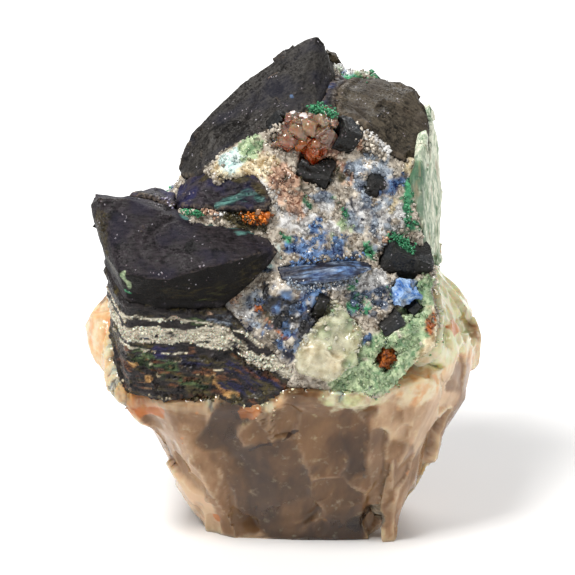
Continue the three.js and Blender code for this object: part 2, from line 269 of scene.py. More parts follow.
class Skin:
    """A fine mesh over one CAD node, whose points can be moved and given masks.

    Its quads are as wide as the cell. It is swelled all round, and by the bridge too near a neighbour.
    """

    def __init__(self, node, cell, swell=0.1, bridge=BRIDGE):
        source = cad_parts[node].data.copy()
        source.transform(Matrix.Scale(1 / MM, 4))
        draft = link(bpy.data.objects.new("draft", source))
        bpy.context.view_layer.update()
        remesh = draft.modifiers.new("remesh", "REMESH")
        remesh.mode = "SHARP"
        longest = max(draft.dimensions)
        remesh.octree_depth = math.ceil(math.log2(longest / cell / FILLED))
        remesh.scale = longest / cell / 2**remesh.octree_depth
        graph = bpy.context.evaluated_depsgraph_get()
        mesh = bpy.data.meshes.new_from_object(draft.evaluated_get(graph))
        bpy.data.objects.remove(draft)
        count = len(mesh.vertices)
        self.node = node
        self.points = np.empty(count * 3)
        mesh.vertices.foreach_get("co", self.points)
        self.points = self.points.reshape(count, 3)
        self.quads = np.empty(len(mesh.loops), int)
        mesh.loops.foreach_get("vertex_index", self.quads)
        self.quads = self.quads.reshape(-1, 4)
        bpy.data.meshes.remove(mesh)
        bpy.data.meshes.remove(source)
        self.masks = {}
        self.tone = np.full(count, 0.5)
        self.others = surfaces(node)
        gap = heights(self.points, self.others)
        self.most = KEEP * self.thickness()
        self.push(swell + bridge * rise(gap, FAR, NEAR))
        self.start = self.points.copy()

    def sum_at_points(self, corner_values):
        """Adds up values given for each quad's corners at the points they belong to."""
        at = self.quads.ravel()
        return np.stack([np.bincount(at, v.ravel(), len(self.points)) for v in corner_values], 1)

    def face_normals(self):
        """Each quad's normal, as long as its area."""
        a, b, c, d = (self.points[self.quads[:, i]] for i in range(4))
        return np.cross(c - a, d - b) / 2

    def normals(self):
        face = self.face_normals()
        total = self.sum_at_points([np.repeat(face[:, i], 4) for i in range(3)])
        return total / np.maximum(np.linalg.norm(total, axis=1), 1e-12)[:, None]

    def smoothed(self, values, times):
        """Values at the points after each has been made the mean of its neighbours' some times."""
        around = [np.roll(self.quads, shift, axis=1) for shift in (1, -1)]
        count = np.bincount(self.quads.ravel(), minlength=len(self.points))[:, None] * 2
        for _ in range(times):
            sums = [values[around[0]][..., i] + values[around[1]][..., i] for i in range(values.shape[1])]
            values = self.sum_at_points(sums) / count
        return values

    def thickness(self):
        """How thick the solid is under each point."""
        tree = BVHTree.FromPolygons(self.points.tolist(), self.quads.tolist())
        through = []
        for point, normal in zip(self.points.tolist(), self.normals().tolist()):
            inward = -Vector(normal)
            hit = tree.ray_cast(Vector(point) + 0.01 * inward, inward)
            through.append(hit[3] if hit[0] else 0)
        return self.smoothed(np.array(through)[:, None], 4)[:, 0]

    def push(self, amount):
        """Moves the points along their normals."""
        amount = np.broadcast_to(np.asarray(amount, float), len(self.points))
        self.points = self.points + self.normals() * amount[:, None]

    def edges(self, times=8):
        """How far each point stands proud of its smoothed surroundings: positive along edges."""
        return ((self.points - self.smoothed(self.points, times)) * self.normals()).sum(1)

    def flake(self, count, radius, depth, seed, lean=0.3, stretch=(1, 1, 1), where=None, mark=1.0):
        """Splits hollow flakes off where a large ball dips into the surface, and marks each with a tone."""
        rng = np.random.default_rng(seed)
        scale = np.array(stretch, float)
        chance = None if where is None else where / where.sum()
        normals = self.normals() * scale
        for at in rng.choice(len(self.points), count, p=chance):
            ball = radius * rng.uniform(0.5, 1.7)
            dip = depth * rng.uniform(0.25, 1)
            axis = normals[at] / np.linalg.norm(normals[at]) + lean * rng.normal(size=3)
            spot = self.points[at] / scale
            centre = spot + (ball - dip) * axis / np.linalg.norm(axis)
            reach = 1.6 * math.sqrt(2 * ball * dip)
            apart = np.linalg.norm(self.points / scale - spot, axis=1)
            close = np.flatnonzero(apart < reach)
            away = self.points[close] / scale - centre
            far = np.linalg.norm(away, axis=1)
            limit = 1.6 * dip * (1 - (apart[close] / reach) ** 2)
            pushed = np.clip(ball - far, 0, limit)
            self.points[close] += away * (pushed / far)[:, None] * scale
            cut = pushed > 0
            slope = (self.points[close[cut]] / scale - spot) @ rng.normal(size=3) / reach
            self.tone[close[cut]] += mark * (rng.uniform() + 0.4 * slope - self.tone[close[cut]])

    def facet(self, stated, count, width, length, step, lean, soft, seed):
        """Breaks the surface into long leaning facets with steps between.

        The stated ones are (half width, tone, places), and chance ones fill the rest.
        """
        rng = np.random.default_rng(seed)
        lines = [np.array(line, float) for _, _, line in stated]
        widths = [wide for wide, _, _ in stated]
        tones = [tone for _, tone, _ in stated]
        for at in rng.choice(len(self.points), count, replace=False):
            along = rng.normal(size=3) * (0.3, 0.3, 0.5) + (0, 0, 1)
            along *= length * rng.uniform(0.2, 0.8) / np.linalg.norm(along)
            wide = width * rng.uniform(0.3, 0.7)
            tone = rng.uniform(*CHANCE_TONES)
            middle = self.points[at]
            if all(distance(middle[None], line)[0] > width for line in lines[:len(stated)]):
                lines.append(np.array([middle - along, middle + along]))
                widths.append(wide)
                tones.append(tone)
        ragged = warped(warped(self.points, 3, 0.7, seed), 1, 0.2, seed + 1)
        apart = np.stack([distance(ragged, line) / wide for line, wide in zip(lines, widths)])
        share = np.exp((apart.min(0) - apart) / soft)
        share /= share.sum(0)
        blend = np.exp((apart.min(0) - apart) / BLEND)
        self.tone = (blend.T * np.array(tones)).sum(1) / blend.sum(0)
        middles = np.array([line.mean(0) for line in lines])
        slopes = rng.normal(scale=lean, size=middles.shape) * (1, 1, 0.4)
        planes = self.points @ slopes.T - (middles * slopes).sum(1) + rng.uniform(-step, step, len(middles))
        fade = rise(self.points[:, 2], 0, FOOT)
        self.push(np.minimum((share.T * planes).sum(1) - SUNK, STAND_OUT) * fade)

    def crease(self, strokes):
        """Presses lines into the surface, or raises them: each is (half width, depth, places)."""
        for width, depth, line in strokes:
            self.push(-depth * np.exp(-((distance(self.points, line) / width) ** 2)))

    def make(self, material):
        """The finished piece."""
        moved = self.points - self.start
        share = self.most / np.maximum(np.linalg.norm(moved, axis=1), 1e-9)
        self.points = self.start + moved * np.minimum(1, share)[:, None]
        self.points[:, 2] = np.maximum(self.points[:, 2], 0)
        name = self.node + "_skin"
        mesh = build_mesh(name, self.points, self.quads, self.masks | {"tone": self.tone}, True)
        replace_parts(add_piece(name, mesh, material), self.node)


# ---------------------------------------------------------------- grains

BLOCK = np.array([(x, y, z) for x in (-1, 1) for y in (-1, 1) for z in (-1, 1)], float)
BLOCK_FACES = np.array([(0, 1, 3, 2), (4, 6, 7, 5), (0, 4, 5, 1), (2, 3, 7, 6), (0, 2, 6, 4), (1, 5, 7, 3)])
POINTED = np.array([(-1, 0, 0), (1, 0, 0), (0, -1, 0), (0, 1, 0), (0, 0, -1), (0, 0, 1)], float) * 1.3
RING = (0, 2, 1, 3, 0)  # round the waist of a pointed grain
POINTED_FACES = np.array(
    [(a, b, 5) for a, b in zip(RING, RING[1:])] + [(b, a, 4) for a, b in zip(RING, RING[1:])])


def add_grains(name, places, sizes, seed, material, masks, shape=POINTED, faces=POINTED_FACES):
    """Many small crystals in one mesh. The masks hold a number for each grain."""
    rng = np.random.default_rng(seed)
    count = len(places)
    shapes = shape + rng.uniform(-0.4, 0.4, (count, *shape.shape))
    shapes *= rng.uniform(0.6, 1.35, (count, 1, 3)) * np.reshape(sizes, (-1, 1, 1)) / 2
    points = np.einsum("nij,nkj->nki", random_turns(rng, count), shapes) + places[:, None]
    points = points.reshape(-1, 3)
    points[:, 2] = np.maximum(points[:, 2], 0)
    faces = (faces + np.arange(count)[:, None, None] * len(shape)).reshape(-1, faces.shape[1])
    # Grain tones differ at random, but about one grain in fourteen gets a tone past 1, which turns it to
    # its mineral's lightest colour: a painted glint.
    tone = rng.beta(2.5, 2.5, count) + (rng.uniform(size=count) > 0.93)
    spread = {"gloss": rng.uniform(size=count), "tone": tone} | masks
    spread = {key: np.repeat(value, len(shape)) for key, value in spread.items()}
    return add_piece(name, build_mesh(name, points, faces, spread, False), material)


def scatter(skin, count, density, seed, rest=0.1):
    """Random spots on a skin, more of them where the density is high, and none buried deeper than rest.

    Gives back the places, and the number of a point next to each.
    """
    rng = np.random.default_rng(seed)
    area = np.linalg.norm(skin.face_normals(), axis=1) * density[skin.quads].mean(1)
    picks = rng.choice(len(area), count, p=area / area.sum())
    share = rng.dirichlet((1, 1, 1, 1), count)
    places = (skin.points[skin.quads[picks]] * share[..., None]).sum(1)
    nearest = skin.quads[picks, 0]
    shown = heights(places, skin.others) > -rest
    return places[shown], nearest[shown]


# ---------------------------------------------------------------- writing materials

def colour(rgb):
    """A linear colour with alpha from sRGB numbers up to 255."""
    share = np.array(rgb) / 255
    linear = np.where(share <= 0.04045, share / 12.92, ((share + 0.055) / 1.055) ** 2.4)
    return (*linear, 1)


class Nodes:
    """A material's nodes. Each method adds a node and gives back its output."""

    def __init__(self, name):
        self.material = bpy.data.materials.new(name)
        self.material.use_nodes = True
        self.tree = self.material.node_tree
        self.shader = self.tree.nodes["Principled BSDF"]
        self.place = self.vector("MULTIPLY", self.node("TexCoord", "Object"), (1 / MM,) * 3)

    def node(self, kind, output, inputs=(), **settings):
        made = self.tree.nodes.new("ShaderNode" + kind)
        for key, value in settings.items():
            setattr(made, key, value)
        pairs = inputs.items() if isinstance(inputs, dict) else enumerate(inputs)
        for key, value in pairs:
            self.put(made.inputs[key], value)
        return made.outputs[output]

    def put(self, socket, value):
        if isinstance(value, bpy.types.NodeSocket):
            self.tree.links.new(value, socket)
        else:
            socket.default_value = value

    def set(self, **values):
        """Sets the shader's own sockets, with _ for a space in a name."""
        for key, value in values.items():
            self.put(self.shader.inputs[key.replace("_", " ")], value)

    def mask(self, name):
        return self.node("Attribute", "Fac", attribute_name=name)

    def vector(self, operation, *inputs):
        return self.node("VectorMath", 0, inputs, operation=operation)

    def along(self, axis, times):
        """The place squeezed along an axis, so that textures run in streaks along it."""
        axis = Vector(axis).normalized()
        part = self.node("VectorMath", "Value", [self.place, tuple(axis)], operation="DOT_PRODUCT")
        part = self.node("VectorMath", 0, {0: tuple(axis), 3: part}, operation="SCALE")
        part = self.node("VectorMath", 0, {0: part, 3: 1 / times - 1}, operation="SCALE")
        return self.vector("ADD", self.place, part)

    def noise(self, size, detail=3, place=None, output="Fac"):
        inputs = {"Vector": place or self.place, "Scale": 1 / size, "Detail": detail}
        return self.node("TexNoise", output, inputs)

    def wavy(self, size, amount):
        """The place moved about by noise."""
        shift = self.vector("MULTIPLY", self.noise(size, 2, output="Color"), (amount,) * 3)
        return self.vector("ADD", self.place, shift)

    def grains(self, size, place=None):
        """The random colour of each grain."""
        return self.node("TexVoronoi", "Color", {"Vector": place or self.place, "Scale": 1 / size})

    def split(self, vector):
        node = self.tree.nodes.new("ShaderNodeSeparateXYZ")
        self.put(node.inputs[0], vector)
        return node.outputs

    def add(self, a, b):
        return self.node("Math", 0, [a, b], operation="ADD")

    def times(self, a, b):
        return self.node("Math", 0, [a, b], operation="MULTIPLY")

    def spread(self, value, amount):
        """A noise or a fibre, moved from round a half to round nought."""
        return self.times(self.node("Math", 0, [value, 0.5], operation="SUBTRACT"), amount)

    def rise(self, value, low, high, start=0.0, end=1.0):
        inputs = [value, low, high, start, end]
        return self.node("MapRange", 0, inputs, interpolation_type="SMOOTHSTEP")

    def mix(self, factor, a, b):
        """A mix of two colours."""
        ends = [colour(c) if isinstance(c, tuple) else c for c in (a, b)]
        return self.node("Mix", 2, {0: factor, 6: ends[0], 7: ends[1]}, data_type="RGBA")

    def bump(self, height, depth, normal=None):
        inputs = {"Height": height, "Distance": depth * MM, "Strength": 1.0}
        if normal:
            inputs["Normal"] = normal
        return self.node("Bump", 0, inputs)

    def tilted(self, grains, amount):
        """The surface's normal, turned a little at random for each grain."""
        turn = self.vector("MULTIPLY", self.vector("SUBTRACT", grains, (0.5,) * 3), (amount,) * 3)
        total = self.vector("ADD", self.node("NewGeometry", "Normal"), turn)
        return self.vector("NORMALIZE", total)


# The dark and light colours of each mineral.
MINERALS = {
    "quartz": ((112, 98, 82), (228, 218, 202)),
    "cream": ((164, 138, 96), (255, 244, 212)),
    "pink": ((112, 72, 54), (236, 200, 172)),
    "blue_grey": ((62, 72, 92), (190, 202, 214)),
    "ice": ((156, 190, 188), (236, 246, 240)),
    "pale_green": ((112, 146, 106), (206, 220, 178)),
    "white": ((150, 146, 144), (248, 248, 246)),
    "milk": ((176, 170, 140), (246, 242, 216)),
    "slate": ((14, 20, 38), (96, 114, 140)),
    "azurite": ((16, 36, 84), (120, 158, 206)),
    "bright_blue": ((60, 110, 182), (186, 216, 246)),
    "malachite": ((8, 56, 38), (84, 176, 124)),
    "teal": ((22, 56, 58), (106, 160, 150)),
    "moss": ((12, 26, 14), (84, 104, 66)),
    "rust": ((80, 34, 10), (214, 118, 46)),
    "rust_brown": ((40, 22, 14), (132, 84, 54)),
    "ochre": ((120, 74, 28), (230, 184, 120)),
    "orange": ((140, 62, 12), (240, 136, 40)),
    "violet": ((44, 38, 66), (186, 178, 206)),
    "indigo": ((8, 8, 18), (46, 44, 84)),
    "black": ((8, 8, 10), (46, 44, 46)),
    "ink": ((10, 10, 20), (38, 40, 66)),
    "umber": ((26, 22, 12), (84, 74, 42)),
    "banded": ((9, 8, 12), (52, 46, 46)),
    "band_white": ((134, 124, 106), (240, 234, 214)),
}


def patches(points, masks, size=0.8, soft=0.12, seed=70, jitter=0.0):
    """Turns masks into ragged patches: a mineral shows where its mask beats a noise of its own."""
    ready = {}
    for i, (name, mask) in enumerate(masks.items()):
        own = 0.5 + 0.8 * layered(points, size, seed + 10 * i, 3) + jitter
        ready[name] = rise(mask - own, -soft, soft) * rise(mask, 0.02, 0.15)
    return ready


def mineral_mix(n, names, tone, base="quartz"):
    """Each mineral's colours where its mask says, from dark to light by the tone."""
    total = n.mix(tone, *MINERALS[base])
    for name in names:
        total = n.mix(n.mask(name), total, n.mix(tone, *MINERALS[name]))
    return total


def sugary(name, names, size, glitter=0.5, base="quartz", **settings):
    """The material of a skin of small grains, of the minerals that its masks say."""
    n = Nodes(name)
    place = n.wavy(size * 1.5, size)
    tone, _, gloss = n.split(n.grains(size, place))
    cloud = n.rise(n.noise(size * 4, 5), 0.3, 0.7, -0.25, 0.45)
    tone = n.add(n.times(tone, 0.7), cloud)
    normal = n.tilted(n.grains(size * 0.45, place), glitter)
    n.set(Base_Color=mineral_mix(n, names, tone, base), Normal=normal,
          Roughness=n.rise(gloss, 0.1, 0.9, 0.15, 0.6))
    n.set(**settings)
    return n.material


def loose(name, names, base="quartz", **settings):
    """The material of grains that are meshes of their own."""
    n = Nodes(name)
    tone = n.add(n.mask("tone"), n.rise(n.noise(0.2, 3), 0.3, 0.7, -0.2, 0.2))
    n.set(Base_Color=mineral_mix(n, names, tone, base), Roughness=n.rise(n.mask("gloss"), 0, 1, 0.05, 0.45),
          IOR=1.54)
    n.set(**settings)
    return n.material


# ---------------------------------------------------------------- the dark crystals

# The colour of edges: partly wear, partly a painted highlight along them.
WEAR_AND_HIGHLIGHT = (128, 112, 94)  # the colour of worn edges
# The next colour is painted shade, put on faces that look down.
UNDERSIDE_SHADE = (9, 7, 5)  # and of faces that look down
# The colours of tiny light specks, partly the crystal's own and partly painted glints.
SPECKS_AND_GLINTS = ((110, 90, 96), (206, 202, 212))  # from dark to light


def dark_material(name, dark, light, tint, share, streak, paint=(), rough=0.5, shine=0.15):
    """Nearly black crystal: fine streaks, a faint tint, stains, painted shade on faces that look down,
    edges that show wear and also carry a painted highlight, and tiny light specks that are partly painted
    glints.
    """
    n = Nodes(name)
    streaks = n.noise(0.2, 6, n.along(streak, 5))
    cloud = n.noise(2.6, 6)
    rough_place = n.wavy(0.3, 0.15)
    grit, _, _ = n.split(n.grains(0.13, rough_place))
    grit = n.rise(grit, 0, 1, 0.28, 0.56)
    level = n.add(n.add(streaks, grit), n.times(n.mask("tone"), 0.4))
    total = n.mix(n.rise(level, 0.75, 1.55), dark, light)
    total = n.mix(n.rise(cloud, 0.46, 0.68, 0, share), total, tint)
    # Edges turn paler: partly wear, partly a painted highlight.
    wear_and_highlight = n.times(n.mask("edge"), n.rise(n.noise(0.3, 4), 0.35, 0.65))
    total = n.mix(n.times(wear_and_highlight, 0.5), total, WEAR_AND_HIGHLIGHT)
    # Painted shade: faces that look down are darkened almost to black.
    under = n.rise(n.split(n.node("NewGeometry", "Normal"))[2], 0.08, -0.2)
    total = n.mix(n.times(under, 0.92), total, UNDERSIDE_SHADE)
    for mineral in paint:
        shown = n.rise(n.add(n.mask(mineral), n.noise(0.4, 6, n.along(streak, 3))), 0.8, 1.3)
        shown = n.times(shown, 0.75)
        total = n.mix(shown, total, n.mix(n.rise(streaks, 0.3, 0.7), *MINERALS[mineral]))
    # Tiny light specks: partly the crystal's own, partly painted glints.
    specks, picks, _ = n.split(n.grains(0.12, n.wavy(0.2, 0.1)))
    crowd = n.rise(n.noise(1.8, 4), 0.48, 0.68, 0.002, 0.04)
    bright = n.rise(n.add(specks, crowd), 1.0, 1.01, 0, 0.6)
    total = n.mix(bright, total, n.mix(picks, *SPECKS_AND_GLINTS))
    normal = n.bump(streaks, 0.05, n.tilted(n.grains(0.13, rough_place), 0.45))
    n.set(Base_Color=total, Normal=normal, Roughness=n.rise(cloud, 0.3, 0.7, rough - 0.1, rough + 0.15),
          Specular_IOR_Level=shine)
    return n.material


# The lines in each large crystal: half width, depth (negative where the line stands out), places.
BLADE_LINES = [
    (0.15, 0.3, [(-2.5, -0.6, 40.2), (-2.7, -1.4, 39.5), (-3.1, -1.9, 38.9), (-3.6, -2.5, 38.1)]),
    (0.12, 0.2, [(-3.6, -2.5, 38.1), (-4.6, -2.2, 37.8), (-5.5, -2.1, 37.2), (-6.2, -2.4, 36.4),
                 (-6.6, -3, 35.7)]),
    (0.12, 0.2, [(-8.7, -1.7, 34.1), (-6.6, -3.9, 35.1), (-5.1, -4.2, 35.9)]),
    (0.12, 0.15, [(-2.5, -2.6, 38.7), (-1.1, -2.1, 39.8), (0.3, -2, 40.6), (1.8, -1.4, 41.2)]),
    (0.25, -0.12, [(-8.8, -1.3, 34.6), (-8, -0.6, 36.4), (-5.9, -0.1, 38.4), (-3.8, 0.6, 40.3),
                   (-1.6, 0.9, 41.7), (-0.1, 1.1, 42.6), (1.3, 1.7, 43.8)]),
    (0.1, 0.1, [(-4.9, -0.6, 38.7), (-3, -0.1, 40.2), (-0.6, 0.3, 41.7), (1.7, 0.6, 43)]),
]
SLAB_LINES = [
    (0.2, 0.25, [(-9.8, -9.4, 31.7), (-10.9, -10.4, 31.5), (-12.2, -11.5, 30.5)]),
    (0.15, 0.2, [(-11.6, -10.9, 31.1), (-11.3, -11.9, 30), (-10.4, -12, 29.8)]),
    (0.3, -0.15, [(-14.5, -12.9, 28.5), (-12.2, -13.7, 28), (-9.2, -13.7, 28.3), (-5.4, -13, 29.1)]),
    (0.12, 0.15, [(-9.6, -11.2, 30.5), (-7.5, -11, 30.5), (-4.8, -10.4, 30.4)]),
    (0.12, 0.12, [(-10.4, -12.2, 29.7), (-7.3, -12.3, 29.6), (-4, -11.7, 29.7)]),
    (0.2, 0.2, [(-14.2, -9.6, 31.4), (-13.4, -11.2, 30.4), (-12.6, -12.6, 29.2)]),
]
HEAD_LINES = [
    (0.15, 0.25, [(6.4, -2.6, 39.4), (7.8, -4, 38.6), (9.6, -4.6, 37.6)]),
    (0.12, 0.12, [(8.5, -1.6, 40.2), (10.2, -2.8, 39.2)]),
]
LINES = {"blade_crystal": BLADE_LINES, "slab_crystal": SLAB_LINES, "head_crystal": HEAD_LINES}
# Each crystal's grid size, dark and light colours, tint and its share, and the way its streaks run.
DARK = {
    "blade_crystal": (0.14, (20, 18, 17), (72, 69, 66), (36, 37, 52), 0.45, (1, 0.1, 0.85)),
    "head_crystal": (0.14, (26, 23, 19), (88, 80, 68), (50, 42, 38), 0.4, (1, -0.3, -0.25)),
    "slab_crystal": (0.15, (11, 10, 11), (60, 54, 58), (33, 31, 50), 0.5, (1, 0.1, 0.03)),
    "saddle_crystal": (0.13, (22, 21, 23), (68, 64, 64), (34, 42, 86), 0.6, (1, -0.3, -0.2)),
    "sliver_crystal": (0.12, (36, 32, 22), (82, 72, 56), (52, 52, 60), 0.3, (0, 0, 1)),
    "dome_crystal": (0.13, (18, 16, 20), (62, 56, 62), (30, 32, 80), 0.7, (1, 0.1, 0.05)),
    "hump_crystal": (0.12, (18, 17, 20), (76, 72, 78), (60, 58, 96), 0.6, (1, 0, 0)),
    "back_crystal_left": (0.18, (26, 24, 27), (60, 56, 58), (34, 38, 74), 0.6, (0.3, 0, 1)),
    "back_crystal_right": (0.18, (32, 28, 26), (70, 62, 56), (36, 40, 62), 0.4, (-0.3, 0, 1)),
    "back_crystal_low": (0.16, (22, 22, 25), (54, 50, 56), (32, 36, 72), 0.6, (1, 0, 0.4)),
}
# The stains on them: half width, strength, places.
STAINS = {
    "blade_crystal": {
        "azurite": [(0.3, 0.6, [(0.4, -2.1, 40.6)]), (0.25, 0.4, [(-1, 0.2, 41.6)])],
        "pink": [(0.18, 0.5, [(-1.3, 0.1, 41.3), (-0.3, 0.2, 41.8)])],
    },
    "slab_crystal": {
        "teal": [
            (0.45, 0.7, [(-9.1, -8.4, 31.3), (-7.2, -8.6, 31), (-5.5, -8.8, 30.9), (-4.2, -9.7, 30.4),
                         (-2.7, -9.2, 30.2)]),
        ],
        "pale_green": [(0.35, 0.7, [(-14.2, -13.2, 27.9), (-13.7, -12.8, 26.6)])],
        "malachite": [(0.35, 0.7, [(-13.9, -12.3, 25.9)])],
        "umber": [
            (1.0, 0.6, [(-16.2, -9.6, 31.8), (-16, -10.4, 30), (-15.6, -11, 27)]),
            (1.4, 0.4, [(-9.5, -12.8, 26.2), (-4, -11.2, 25.8), (-3, -11.6, 27.8)]),
        ],
        "moss": [(0.9, 0.3, [(-7.5, -12, 25), (-5.3, -11.6, 26.2)])],
    },
    "dome_crystal": {
        "teal": [
            (0.6, 0.6, [(-5.9, -8.7, 32.4), (-4.5, -8.4, 32.9), (-3.2, -8.1, 33.3), (-1.9, -8.2, 32.8)]),
        ],
        "umber": [
            (0.5, 0.8, [(-7.6, -6, 34.2), (-5.6, -6.4, 34.8), (-3.8, -7, 34.4), (-2.5, -7.5, 34),
                        (-1.9, -8, 33.4)]),
        ],
    },
    "saddle_crystal": {"azurite": [(0.5, 0.6, [(4.6, 0.3, 40.5), (3.6, 0.2, 40.9)])]},
    "hump_crystal": {
        "violet": [(0.6, 0.5, [(-13, -3.3, 31), (-10.4, -6.5, 31.9)])],
        "white": [(0.25, 0.6, [(-12, -4.5, 31.6), (-10.2, -6.6, 31.8)])],
    },
}
# The small black crystals, which share a material.
BLACK = ["black_crystal_by_cuprite", "black_crystal_under_cuprite", "black_crystal_left_of_cuprite",
         "black_crystal_on_right", "corner_crystal", "black_crystal_below", "black_chip_below",
         "vein_crystal"]


def make_dark_crystals():
    for i, (node, (cell, dark, light, tint, share, streak)) in enumerate(DARK.items()):
        seed = 100 + 50 * i
        skin = Skin(node, cell=cell, swell=0.05)
        size = np.ptp(skin.points, axis=0).max()
        edge = np.clip(skin.edges(), 0, 1)
        skin.flake(6, 2 * size, 0.12, seed + 1, 0.04)
        skin.flake(30, 5, 0.06, seed + 3, 0.12)
        skin.flake(120, 1.2, 0.05, seed + 4, 0.3)
        skin.flake(100, 0.6, 0.16, seed + 2, 0.5, where=edge**2)
        skin.crease(LINES.get(node, []))
        p = skin.points
        fine = drawn_out(warped(p, 3, 0.5, seed + 5), streak, 6)
        skin.push(0.07 * layered(fine, 0.7, seed + 10, 3) + 0.03 * layered(p, 0.3, seed + 20, 2))
        skin.masks["edge"] = rise(edge, 0.05, 0.25)
        stains = STAINS.get(node, {})
        for name, strokes in stains.items():
            skin.masks[name] = painted(p, strokes)
        skin.make(dark_material("dark_" + node, dark, light, tint, share, streak, stains))
    black = dark_material("black_crystal", (22, 22, 22), (52, 51, 50), (34, 44, 52), 0.4, (1, 0.4, -0.3),
                          rough=0.35, shine=0.35)
    for i, node in enumerate(BLACK):
        seed = 900 + 50 * i
        skin = Skin(node, cell=0.1, swell=-0.05, bridge=0.1)
        skin.flake(8, 12, 0.12, seed, 0.15)
        skin.flake(20, 0.5, 0.1, seed + 1, 0.5, where=np.clip(skin.edges(), 0, 1) ** 2)
        skin.push(0.02 * layered(skin.points, 0.4, seed + 2, 3))
        skin.masks["edge"] = rise(skin.edges(4), 0.03, 0.2)
        skin.make(black)


# ---------------------------------------------------------------- the crust

